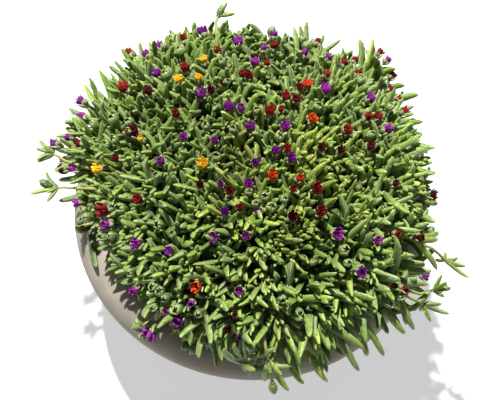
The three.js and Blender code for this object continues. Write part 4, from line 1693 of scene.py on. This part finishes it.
@dataclass
class Clearings:
    """The lines of sight from the picture's eye to the blooms and buds, which leaves keep out of."""

    depth: float = 45.0
    places: list[Point] = field(default_factory=list)
    radii: list[float] = field(default_factory=list)

    def add(self, place: Point, radius: float) -> None:
        """Keeps the line of sight to a place clear, within a radius."""
        self.places.append(place)
        self.radii.append(radius)

    def hide(self, path: np.ndarray, girth: np.ndarray) -> bool:
        """Whether a leaf would stand before any of the places.

        Args:
            path: The leaf's points.
            girth: Half its thickness at each point.

        Returns:
            True if it would.
        """
        places = np.array(self.places)
        ways = VIEW.eye() - places
        ways /= np.linalg.norm(ways, axis=1)[:, None]
        away = path[:, None, :] - places[None, :, :]
        along = np.einsum("pki,ki->pk", away, ways)
        aside = np.linalg.norm(away - along[..., None] * ways[None], axis=2)
        near = aside < np.array(self.radii)[None, :] + 0.5 * girth[:, None]
        return bool(np.any(near & (along > 0) & (along < self.depth)))


@dataclass(frozen=True)
class LeafPair:
    """One opposite pair on a shoot, from its root's depth under the growing point."""

    depth: float
    length: float
    spread: float
    end_spread: float
    girth: float
    young: float


@dataclass(frozen=True)
class Spot:
    """A leaf's place on the mound, and how far it belongs to parts of the mound, each from 0 to 1.

    The parts are the foot (low), the front right where leaves hang (hang), the far side (away), the far
    side's flank (back), a notch in the outline at the right (notch) and the near half of the top (crown).
    """

    azimuth: float
    latitude: float
    low: float
    hang: float
    away: float
    back: float
    notch: float
    crown: float


@dataclass
class Foliage:
    """All the leaves and stems of the mound, with the stray shoots."""

    steps: tuple[float, ...] = (0.0, 0.16, 0.4, 0.64, 0.83, 0.94, 1.0)
    shape: tuple[float, ...] = (0.6, 0.84, 1.0, 0.95, 0.74, 0.45, 0.06)
    pairs: tuple[LeafPair, ...] = (
        LeafPair(0.0, 8.5, 0.22, 0.05, 1.15, 1.0),
        LeafPair(0.8, 11.5, 0.6, 0.35, 1.35, 0.8),
        LeafPair(2.6, 16.0, 0.7, 0.35, 1.6, 0.45),
        LeafPair(6.0, 22.0, 0.95, 0.5, 1.85, 0.2),
        LeafPair(11.5, 27.0, 1.1, 0.65, 2.05, 0.08),
        LeafPair(18.0, 29.0, 1.25, 0.8, 2.2, 0.0),
    )
    apex_depth: float = 10.0
    bloom_apex_depth: float = 15.0
    bud_apex_depth: float = 12.0
    stem_girth: float = 1.2
    margin: float = -3.5
    shrinks: tuple[float, ...] = (1.0, 0.78, 0.6)
    hang_azimuth: float = -1.05
    rim_room: float = 0.3
    free_reach: float = 1.004
    sway: float = 0.65
    rise: float = 0.6
    swing: float = 0.35
    droop: float = 0.9
    bare: float = 0.45
    bare_front: float = 0.75
    reach_low: float = 0.88
    reach_high: float = 1.04
    reach_hanging: float = 0.11
    reach_free: float = 0.12
    reach_back: float = 0.07
    overshoot: float = 0.35
    pull: float = 0.7
    deepest: float = 9.0
    patch_scale: float = 0.045
    outline_girth: float = 2.1
    clearings: Clearings = field(default_factory=Clearings)
    clumps: list[Strands] = field(default_factory=lambda: [Strands(f"leaves_{name}") for name in PLAN.names])
    stems: Strands = field(default_factory=lambda: Strands("stems"))

    def keep_inside(self, path: np.ndarray, girth: np.ndarray) -> np.ndarray:
        """Lifts a path over the rim and keeps it inside the frame's box.

        Args:
            path: The path's points.
            girth: Half its thickness at each point.

        Returns:
            The path's new points.
        """
        path = path.copy()
        for point, thick in zip(path, girth):
            floor = RIM.height(math.hypot(point[0], point[1])) + thick + self.rim_room
            point[2] = max(point[2], floor)
        low = np.array(CAD_BOX[0]) / MM + girth[:, None] + self.margin
        high = np.array(CAD_BOX[1]) / MM - girth[:, None] - self.margin
        return np.clip(path, low, high)

    def front(self, azimuth: float) -> float:
        """How far an azimuth belongs to the front right, where leaves are long and hang."""
        return max(0.0, math.cos(azimuth - self.hang_azimuth)) ** 3

    def tuck(self, path: np.ndarray, limit: float) -> np.ndarray:
        """Draws the points that stand out of the mound back towards its surface.

        Args:
            path: The path's points.
            limit: How far out they may stand, against the mound's own size.

        Returns:
            The path's new points.
        """
        path = path.copy()
        middle = MOUND.centre()
        for point in path:
            reach = MOUND.reach(point)
            if reach > limit:
                point[:] = middle + (point - middle) * (limit + (reach - limit) * self.overshoot) / reach
        return path

    def spot(self, place: Point) -> Spot:
        """What a place is to the mound.

        Args:
            place: The place.

        Returns:
            Its angles and its shares in the parts of the mound.
        """
        azimuth, latitude = MOUND.angles(place)
        low, away = fade(latitude, 0.5), max(0.0, math.sin(azimuth))
        return Spot(
            azimuth, latitude, low, low * self.front(azimuth), away, away ** 0.5 * fade(latitude, 0.9),
            bell(azimuth, -0.3, 0.28) * fade(latitude, 0.7), limited((latitude - 0.35) / 0.6) * (1 - away),
        )

    def is_bare(self, spot: Spot, serial: float) -> bool:
        """Whether a leaf low on the near side is left out, so that the stems show between the others."""
        bare = self.bare_front if -1.9 < spot.azimuth < -0.7 else self.bare
        return spot.latitude < 0.14 and math.sin(spot.azimuth) < 0.2 and chance(serial, 10) < bare

    def limit(self, spot: Spot, vigour: float, serial: float, free: bool) -> float:
        """How far out a leaf may stand, which follows the outline in the reference picture.

        Args:
            spot: The leaf's spot.
            vigour: How strong its shoot is.
            serial: The leaf's number.
            free: Whether its shoot stands out of the mound.

        Returns:
            The distance from the mound's centre, against the mound's own size.
        """
        azimuth = spot.azimuth
        limit = between(self.reach_low, self.reach_high, 0.65 * vigour + 0.35 * chance(serial, 20))
        limit += self.reach_hanging * spot.hang
        if free:
            limit += self.reach_free * max(math.sin(azimuth), -math.cos(azimuth), 0.0) ** 2
        limit += self.reach_back * spot.back * (0.25 + chance(serial, 9))
        limit -= 0.05 * spot.low * max(0.0, -math.sin(azimuth + 0.9)) + 0.19 * spot.notch
        limit -= 0.06 * bell(azimuth, 0.35, 0.3) * spot.low + 0.14 * bell(azimuth, 1.6, 0.4)
        return limit + 0.05 * bell(azimuth, -1.8, 0.2)

    def tint(self, spot: Spot, root: Point, serial: float) -> float:
        """How bright a leaf is: in patches of its own tone, with painted shade on the far, left and hanging
        sides and painted light at the top.

        Args:
            spot: The leaf's spot.
            root: Where it leaves the stem.
            serial: Its number.

        Returns:
            Its place between deep and bright.
        """
        patch = limited(0.5 + 1.1 * noise.noise(Vector(root) * self.patch_scale))
        tint = 0.2 * chance(serial, 16) + 0.4 * chance(math.floor(serial / 12), 17) + 0.4 * patch
        # Painted shade on the left, far and hanging sides, and painted light at the top:
        left = max(0.0, -math.cos(spot.azimuth)) * math.cos(spot.latitude)
        tint *= 1 - 0.5 * spot.hang - 0.25 * spot.away - 0.3 * left
        return tint + 0.22 * max(0.0, math.sin(spot.latitude)) ** 6

    def leaf(
        self, clump: int, root: Point, growth: Point, keel: Point, pair: LeafPair, serial: float, free: bool,
    ) -> None:
        """Adds a leaf to its clump, shortened where it would hide a bloom, or left out.

        Args:
            clump: The clump's index.
            root: Where the leaf leaves the stem.
            growth: The way the stem grows.
            keel: The side that the leaf grows to, square to the stem.
            pair: The pair that the leaf belongs to.
            serial: The leaf's number, which its chances follow.
            free: Whether its shoot stands out of the mound, so that the leaf may too.
        """
        vigour = chance(math.floor(serial / 12), 27)
        spot = self.spot(root + growth * 10)
        if not free and self.is_bare(spot, serial):
            return
        length = pair.length * between(0.85, 1.15, chance(serial, 11)) * between(0.75, 1.55, vigour ** 1.6)
        length *= 1 + 0.75 * spot.hang + 0.2 * spot.back - 0.1 * spot.crown
        open_out = between(1.0, 0.72, spot.away)
        start = pair.spread * between(0.7, 1.3, chance(serial, 12)) * open_out * (1 - 0.25 * spot.back)
        end = pair.end_spread * between(0.3, 1.4, chance(serial, 13)) * open_out
        sag = between(0.0, 0.3, chance(serial, 14)) * spot.hang * (1 - 0.6 * pair.young)
        girth = np.array(self.shape) * pair.girth * between(0.85, 1.12, chance(serial, 15))
        girth = girth * between(0.82, 1.25, vigour) * (1 + 0.34 * spot.hang - 0.08 * spot.crown)
        points, place, last = [root.copy()], root.copy(), 0.0
        aside = np.cross(growth, keel) * self.swing * (chance(serial, 8) - 0.5)
        for share in self.steps[1:]:
            spread = between(start, end, (share + last) / 2)
            way = unit(turned(growth, keel, spread) + aside * share)
            place = place + way * length * (share - last)
            points.append(place - UP * sag * length * share * share)
            last = share
        path, limit = np.array(points), self.limit(spot, vigour, serial, free)
        reach = MOUND.reach(path[-1])
        beyond = self.pull * (reach - limit) / reach * float(np.linalg.norm(path[-1] - MOUND.centre()))
        path -= growth * min(max(0.0, beyond), self.deepest)
        path = self.keep_inside(self.tuck(path, limit), girth)
        tint, young = self.tint(spot, root, serial), pair.young * between(0.6, 1.2, chance(serial, 18))
        for shrink in self.shrinks:
            shrunk = root + (path - root) * shrink
            if not self.clearings.hide(shrunk, girth):
                self.clumps[clump].add(shrunk, girth * shrink ** 0.3, tint, young)
                return

    def heading(self, shoot: Shoot) -> Point:
        """The way a shoot's leaves head: aside by chance, down at the front right, and up at the far left."""
        first, second = sideways(shoot.growth)
        aside = turned(first, second, chance(shoot.serial, 3) * 2 * math.pi)
        azimuth, latitude = MOUND.angles(shoot.tip)
        droop = self.front(azimuth) * max(0.0, 1 - abs(latitude - 0.25) / 0.75) * self.droop
        outward = np.array([math.cos(azimuth), math.sin(azimuth), -0.35])
        rise = self.rise * math.cos(latitude) * limited(math.sin(azimuth) + 0.7)
        rise *= 1 - 0.7 * max(0.0, math.cos(azimuth))
        sway = aside * self.sway * chance(shoot.serial, 4)
        return unit(shoot.growth + sway + outward * droop + UP * rise)

    def first_pair(self, shoot: Shoot) -> int:
        """The first leaf pair that a shoot has: some lack the youngest, and so do those with a top."""
        if shoot.top is not Top.LEAVES:
            return 3
        azimuth = MOUND.angles(shoot.tip)[0]
        if chance(shoot.serial, 28) < between(0.1, 0.75, 0.5 + 0.5 * math.sin(azimuth)):
            return 2 if chance(shoot.serial, 29) < 0.5 else 1
        return 0

    def grow(self, shoot: Shoot) -> None:
        """Adds a shoot's stem and its pairs of leaves, each a quarter turn on from the last.

        Args:
            shoot: The shoot.
        """
        depths = {Top.LEAVES: self.apex_depth, Top.BUD: self.bud_apex_depth}
        apex = shoot.tip - shoot.growth * depths.get(shoot.top, self.bloom_apex_depth * shoot.size)
        start, heading = chance(shoot.serial, 2) * math.pi, self.heading(shoot)
        first, second = sideways(heading)
        free = MOUND.reach(shoot.tip) > self.free_reach
        pairs = self.pairs[self.first_pair(shoot):]
        for level, pair in enumerate(pairs):
            root = apex - shoot.growth * (pair.depth - pairs[0].depth)
            for side in range(2):
                serial = shoot.serial * 12 + level * 2 + side + 0.5
                turn = start + side * math.pi + level * math.pi / 2 + between(-0.3, 0.3, chance(serial, 19))
                self.leaf(shoot.clump, root, heading, turned(first, second, turn), pair, serial, free)
        route = np.array([shoot.base - shoot.growth * 4, (shoot.base + apex) / 2, apex])
        girth = np.array([1.3, 1.15, 0.95]) * self.stem_girth
        self.stems.add(self.keep_inside(route, girth), girth)

    def put(self, clump: int, path: np.ndarray, girth: np.ndarray, tint: float, young: float) -> None:
        """Adds a leaf that keeps inside the frame's box and clear of the rim."""
        self.clumps[clump].add(self.keep_inside(path, girth), girth, tint, young)

    def bowed(self, root: Point, tip: Point, bow: Point) -> np.ndarray:
        """A leaf's path from root to tip that bows out in the middle."""
        steps = np.array(self.steps)[:, None]
        return root + (tip - root) * steps + bow * np.sin(np.pi * steps)

    def outline_leaf(self, start: Pixel, end: Pixel, serial: int) -> None:
        """Adds a long leaf that shows at the outline.

        Args:
            start: The pixel of its root.
            end: The pixel of its tip.
            serial: The leaf's number.
        """
        tip, near = MOUND.seen(VIEW, end), MOUND.seen(VIEW, start)
        clump = PLAN.nearest(near)
        azimuth, latitude = MOUND.angles(near)
        root = MOUND.point(azimuth, latitude, 9.0)
        girth = np.array(self.shape) * self.outline_girth
        path = self.bowed(root, tip, unit(near - root) * 2.5)
        self.put(clump, path, girth, 0.45 + 0.5 * chance(serial, 21), 0.1)

    def stray(self, stray: Stray, serial: int, buds: Copies) -> None:
        """Adds a shoot that stands out of the mound: its stem, long leaves, tuft and bud.

        Args:
            stray: The shoot's pixels.
            serial: The shoot's number.
            buds: The buds, which its bud joins.
        """
        first, second, last = [MOUND.seen(VIEW, pixel) for pixel in stray.stem]
        clump = PLAN.nearest(first)
        first = MOUND.point(*MOUND.angles(first), 14.0)
        girth = np.array([1.3, 1.2, 1.1, 1.0, 0.95])
        route = np.array([first, (first + second) / 2, second, (second + last) / 2 + UP, last])
        route = self.keep_inside(route, girth)
        self.stems.add(route, girth, 0.5, 0.8)
        end, growth = route[-1], unit(route[-1] - route[-2])
        root = end - growth * 1.5
        for k, pixel in enumerate(stray.leaves):
            plump = between(1.35, 1.8, chance(serial + k, 22)) + 0.9 * max(0.0, stray.fresh - 0.3)
            path = self.bowed(root, MOUND.seen(VIEW, pixel), growth * 2.2)
            tint = between(0.3, 0.9, chance(serial + k, 23))
            self.put(clump, path, np.array(self.shape) * plump, tint, stray.fresh)
        self.tuft(clump, end, growth, serial, stray.fresh)
        if stray.bud:
            top = RIM.lift(end, MOUND.seen(VIEW, stray.bud), 3.0, 1.0)
            up = unit(top - end)
            foot = max(0.0, float(np.linalg.norm(top - end)) - 8.0)
            stalk = np.array([end - up, end + up * foot / 2, end + up * foot])
            self.stems.add(stalk, np.array([0.9, 0.8, 0.8]), 1.0, 0.8)
            buds.add(end + up * (foot - 1.0), up, sideways(up)[0], [0.72, 0.72, 0.8], chance(serial, 24))

    def tuft(self, clump: int, end: Point, growth: Point, serial: int, fresh: float) -> None:
        """Adds the six small leaves at the end of a stray shoot.

        Args:
            clump: The clump's index.
            end: The end of the shoot's stem.
            growth: The way the stem grows there.
            serial: The shoot's number.
            fresh: How young the shoot is.
        """
        steps = np.array(self.steps)[:, None]
        for k in range(6):
            pair = self.pairs[k // 2 + 1]
            keel = turned(*sideways(growth), 2 * math.pi * chance(serial + k, 25))
            tip = end + turned(growth, keel, pair.spread) * pair.length * 0.6
            path = end - growth * 1.5 + (tip - end) * steps
            thick = np.array(self.shape) * pair.girth * 0.8
            self.put(clump, path, thick, chance(serial + k, 26), max(pair.young, fresh))

    def build(self, finish: Material, stem_finish: Material) -> list[Piece]:
        """Turns the leaves and the stems into pieces.

        Args:
            finish: The leaves' material.
            stem_finish: The stems' material.

        Returns:
            The pieces, the stems last.
        """
        tree = strand_tree()
        pieces = [clump.build(tree, 6, 0.22, finish) for clump in self.clumps]
        for centre in PLAN.centres() * 0.8:
            path = np.array([[*centre, z] for z in (90.0, 104.0, 118.0, 134.0)])
            path[2:, :2] *= 1.02
            self.stems.add(path, np.array([3.5, 3.6, 3.3, 3.0]))
        return [*pieces, self.stems.build(tree, 6, 0.0, stem_finish)]

    def dress(self, pieces: list[Piece]) -> None:
        """Gives the leaves and the stems their place in the frame.

        Args:
            pieces: The pieces, the stems last.
        """
        for piece, name in zip(pieces, PLAN.names):
            ride_and_slot(piece, "foliage", f"clump_{name}")
        ride_and_slot(pieces[-1], "foliage")


@dataclass(frozen=True)
class Shell:
    """A sector of a hollow bud: one cupped sepal with a thick pale edge."""

    turn: float
    half_angle: float
    swell: float
    height: float
    lean: float = 0.0
    close: float = 0.72
    edged: bool = True


@dataclass(frozen=True)
class Cup:
    """A bud or cup model of cupped sepals on a solid foot, which grows along Z."""

    name: str
    shells: tuple[Shell, ...]
    thickness: float
    core: float
    rows: int = 6
    columns: int = 5
    foot_sides: int = 10
    closest: float = 0.985

    def skin(self, shell: Shell, inner: int) -> list[tuple[float, float, float, float, float]]:
        """One side of a sepal, row by row from its foot.

        Args:
            shell: The sepal.
            inner: 0 for its outer side and 1 for its inner side.

        Returns:
            Each point's place, its share of the length, and how far it belongs to the edge.
        """
        points = []
        for i in range(self.rows):
            share = i / (self.rows - 1)
            curl = math.sin(math.pi * min(self.closest, 0.16 + shell.close * share))
            radius = shell.swell * curl + shell.lean * share
            wide = shell.half_angle * (1 - share ** 3.5) ** 0.5 + 0.04
            for j in range(self.columns):
                across = 2 * j / (self.columns - 1) - 1
                turn = shell.turn + wide * across
                rim = max(abs(across) ** 4 * share, share ** 5)
                reach = max(radius - self.thickness * inner * (1 - 0.5 * rim), 0.1)
                rise = shell.height * share - self.thickness * inner * share * 0.5
                edge = rim if shell.edged else -1.0
                points.append((reach * math.cos(turn), reach * math.sin(turn), rise, share, edge))
        return points

    def faces(self) -> list[list[int]]:
        """The faces of a sepal: its two sides and the border between them."""
        rows, columns, count = self.rows, self.columns, self.rows * self.columns
        faces: list[list[int]] = []
        for i in range(rows - 1):
            for j in range(columns - 1):
                a = i * columns + j
                faces.append([a, a + 1, a + columns + 1, a + columns])
                faces.append([a + count, a + count + columns, a + count + columns + 1, a + count + 1])
        border = [*range(columns), *(i * columns + columns - 1 for i in range(1, rows))]
        border += [(rows - 1) * columns + j for j in reversed(range(columns - 1))]
        border += [i * columns for i in reversed(range(1, rows - 1))]
        for here, there in zip(border, border[1:] + border[:1]):
            faces.append([there, here, here + count, there + count])
        return faces

    def build(self) -> Piece:
        """The model: every sepal, and then the foot, a turned shape that closes over a point at both ends."""
        points, faces, core, sides = [], [], self.core, self.foot_sides
        for shell in self.shells:
            faces += [[len(points) + k for k in face] for face in self.faces()]
            points += self.skin(shell, 0) + self.skin(shell, 1)
        rings = [(0.4 * core, -2.6), (0.8 * core, -1.2), (core, 0.4), (0.92 * core, 2.0), (0.5 * core, 2.9)]
        faces += [[len(points) + k for k in face] for face in revolve_faces(len(rings), sides)]
        points.append((0.0, 0.0, -2.9, 0.0, 0.0))
        for radius, height in rings:
            turns = [2 * math.pi * i / sides for i in range(sides)]
            points += [(radius * math.cos(t), radius * math.sin(t), height, 0.0, 0.0) for t in turns]
        points.append((0.0, 0.0, 3.2, 0.0, 0.0))
        table = np.array(points)
        return link_model(self.name, table[:, :3], faces, table[:, 3], table[:, 4])


@dataclass(frozen=True)
class Whorl:
    """One ring of petals in a bloom."""

    count: int
    ring: float
    length: float
    lean_share: float
    wide: float


@dataclass
class Blooms:
    """The blooms' petals, the cups under them, and the closed buds."""

    whorls: tuple[Whorl, ...] = (
        Whorl(8, 1.9, 1.0, 1.0, 1.0),
        Whorl(6, 1.3, 0.93, 0.7, 0.95),
        Whorl(5, 0.6, 0.8, 0.3, 0.8),
    )
    leans: dict[Stage, float] = field(default_factory=lambda: {
        Stage.CLOSED: 0.06, Stage.HALF: 0.22, Stage.STAR: 0.62,
    })
    bloom_scale: float = 0.84
    bud_length: float = 8.0
    petals: dict[Hue, Copies] = field(default_factory=lambda: {
        hue: Copies(f"petals_{hue.value}") for hue in Hue
    })
    cups: Copies = field(default_factory=lambda: Copies("calyx_cups"))
    sepals: Copies = field(default_factory=lambda: Copies("sepals"))
    buds: Copies = field(default_factory=lambda: Copies("buds"))

    def add_bloom(self, shoot: Shoot) -> None:
        """Adds a bloom's petals, cup and sepals.

        Args:
            shoot: The bloom's shoot.
        """
        up, size, foot = shoot.growth, shoot.size * self.bloom_scale, shoot.foot
        first, second = sideways(up)
        lean = self.leans[shoot.stage]
        narrow = 0.85 if shoot.stage is Stage.STAR else 1.0
        spin = chance(shoot.serial, 31) * math.pi
        dark = 0.85 if shoot.dark else 0.0
        for level, whorl in enumerate(self.whorls):
            for i in range(whorl.count):
                serial = shoot.serial * 30 + level * 10 + i
                turn = spin + 2 * math.pi * (i + 0.5 * level) / whorl.count + 0.2 * (chance(serial, 32) - 0.5)
                out = turned(first, second, turn)
                along = turned(up, out, lean * whorl.lean_share + 0.14 * (chance(serial, 33) - 0.5))
                length = size * whorl.length * between(0.78, 1.1, chance(serial, 34))
                wide = size * whorl.wide * narrow * between(0.85, 1.2, chance(serial, 36))
                tint = 0.45 * chance(serial, 35) + 0.55 * chance(shoot.serial, 30)
                place = foot + out * whorl.ring * size
                self.petals[shoot.hue].add(place, along, out, [size, wide, length], tint, dark)
        self.cups.add(foot - up * 1.5 * size, up, first, [size, size, size], chance(shoot.serial, 37))
        for i in range(5):
            serial = shoot.serial * 7 + i
            out = turned(first, second, spin + 2 * math.pi * i / 5)
            along = turned(up, out, min(lean, 0.6) * 0.5 + 0.14 + 0.12 * chance(serial, 38))
            length = size * (0.95 if i in (0, 2) else 0.6) * between(0.85, 1.1, chance(serial, 39))
            place = foot - up * 1.4 * size + out * 2.6 * size
            self.sepals.add(place, along, out, [size, size, length], chance(serial, 40))

    def add_bud(self, shoot: Shoot) -> None:
        """Adds a closed bud at a shoot's tip.

        Args:
            shoot: The bud's shoot.
        """
        out = turned(*sideways(shoot.growth), chance(shoot.serial, 43) * math.pi)
        size = between(0.62, 0.92, chance(shoot.serial, 41))
        place = shoot.tip - shoot.growth * self.bud_length * size
        self.buds.add(place, shoot.growth, out, [size] * 3, chance(shoot.serial, 42))

    def build(self) -> list[DressedPiece]:
        """Turns everything into pieces.

        Returns:
            Each piece with its slot and the frame's nodes that it stands for.
        """
        tree = copy_tree()
        petal = Blade("petal_model", (
            (0.04, 0.9, 0.24, 0.0), (0.3, 1.55, 0.26, 0.22), (0.62, 1.85, 0.24, 0.4), (0.88, 1.2, 0.18, 0.5),
        ), 9.0).build()
        sepal = Blade("sepal_model", (
            (0.04, 1.35, 0.8, 0.0), (0.3, 1.6, 0.95, 0.5), (0.6, 1.25, 0.85, 0.6), (0.86, 0.7, 0.55, 0.3),
        ), 8.0).build()
        cup = Cup("cup_model", (
            Shell(0.0, 0.95, 3.2, 5.6, 1.2), Shell(math.pi, 0.95, 3.2, 5.2, 1.2),
            Shell(1.57, 0.6, 3.0, 4.4, 1.0), Shell(-1.57, 0.6, 3.0, 4.4, 1.0),
        ), 0.6, 2.6).build()
        bud = Cup("bud_model", (
            Shell(0.0, 0.9, 4.5, 10.8, 0.2, 0.7), Shell(1.3, 0.7, 4.2, 8.8, 0.1, 0.7),
            Shell(2.5, 0.8, 4.4, 10.2, 0.1, 0.69), Shell(3.75, 0.7, 4.2, 8.6, 0.2, 0.7),
            Shell(5.0, 0.8, 4.4, 9.8, 0.1, 0.71),
            Shell(0.6, 1.3, 3.5, 8.2, 0.0, 0.78, False), Shell(3.8, 1.4, 3.4, 7.8, 0.0, 0.8, False),
        ), 0.9, 2.9).build()
        rows: list[DressedPiece] = []
        for hue, copies in self.petals.items():
            slot = f"petal_{hue.value}"
            nodes = [f"bloom_{hue.value}_{i + 1:02d}" for i in range(len(BLOOMS[hue]))]
            rows.append((copies.build(tree, petal, PETALS[hue].make(slot)), slot, nodes))
        for copies, model, finish in (
            (self.cups, cup, CupFinish("cup_green", edge=(0.40, 0.34, 0.20))),
            (self.sepals, sepal, CupFinish("sepal_green", edge=(0.60, 0.56, 0.33))),
            (self.buds, bud, CupFinish()),
        ):
            rows.append((copies.build(tree, model, finish.make()), "foliage", []))
        for model in (petal, sepal, cup, bud):
            bpy.data.objects.remove(model)
        return rows

    def dress(self, rows: list[DressedPiece]) -> None:
        """Gives every piece its body and hides the frame's nodes that it stands for."""
        for piece, slot, nodes in rows:
            ride_and_slot(piece, slot, *nodes)


@dataclass
class Studio:
    """The pale floor and the light, which comes from high behind the plant."""

    floor_half: float = 3.0
    key_power: float = 130.0
    key_size: float = 0.07
    key_place: Colour = (-0.44, 0.74, 2.2)
    fill_power: float = 0.6
    fill_size: float = 1.8
    fill_place: Colour = (0.3, -1.3, 2.2)
    aim: Colour = (0.0, 0.0, 0.13)
    sky_colour: Colour = (0.82, 0.94, 0.96)
    sky: float = 0.22

    def build(self) -> None:
        """Adds the floor, the lights and the surrounding light."""
        corners = np.array([[-1, -1, 0], [1, -1, 0], [1, 1, 0], [-1, 1, 0]]) * self.floor_half / MM
        floor = link_mesh("floor", corners, [[0, 1, 2, 3]])
        coat(floor, FloorFinish().make())
        self.lamp("key", self.key_power, self.key_size, self.key_place)
        self.lamp("fill", self.fill_power, self.fill_size, self.fill_place)
        world = bpy.data.worlds.new("studio")
        bpy.context.scene.world = world
        world.use_nodes = True
        back = world.node_tree.nodes["Background"]
        back.inputs["Color"].default_value = (*self.sky_colour, 1.0)
        back.inputs["Strength"].default_value = self.sky
        bpy.context.scene.view_settings.view_transform = "Standard"

    def lamp(self, name: str, power: float, size: float, place: Colour) -> None:
        """Adds a square lamp that faces the plant.

        Args:
            name: The lamp's name.
            power: Its power in watts.
            size: Its side in metres.
            place: Where it hangs, in metres.
        """
        data = bpy.data.lights.new(name, "AREA")
        data.energy, data.size = power, size
        lamp = bpy.data.objects.new(name, data)
        lamp.location = place
        aim = Vector(self.aim) - Vector(place)
        lamp.rotation_mode = "QUATERNION"
        lamp.rotation_quaternion = aim.to_track_quat("-Z", "Y")
        bpy.context.scene.collection.objects.link(lamp)


def main() -> None:
    """Builds the potted ice plant, piece by piece."""
    logging.basicConfig(level=logging.INFO, format="%(message)s")
    VIEW.place_camera()
    Studio().build()

    planter = Planter()
    planter.dress(planter.build())
    soil = SoilBed()
    soil.dress(soil.build())
    growth = InnerGrowth()
    growth.dress(growth.build())

    plan, foliage, blooms = ShootPlan(), Foliage(), Blooms()
    shoots = plan.blooms()
    shoots += plan.buds(shoots)
    shoots += plan.greens(shoots)
    shoots += plan.fillers(shoots)
    log.info("%d shoots", len(shoots))
    for shoot in shoots:
        if shoot.top is Top.BLOOM:
            blooms.add_bloom(shoot)
            foliage.clearings.add(shoot.tip - shoot.growth * 4 * shoot.size, 2.4 * shoot.size)
        elif shoot.top is Top.BUD:
            blooms.add_bud(shoot)
            foliage.clearings.add(shoot.tip - shoot.growth * 4, 2.2)
    for shoot in shoots:
        foliage.grow(shoot)
    for serial, (start, end) in enumerate(OUTLINE_LEAVES):
        foliage.outline_leaf(start, end, serial)
    for serial, stray in enumerate(STRAYS):
        foliage.stray(stray, 50 * serial, blooms.buds)
    foliage.dress(foliage.build(LeafFinish().make(), StemFinish().make()))
    blooms.dress(blooms.build())


if __name__ == "__main__":
    main()
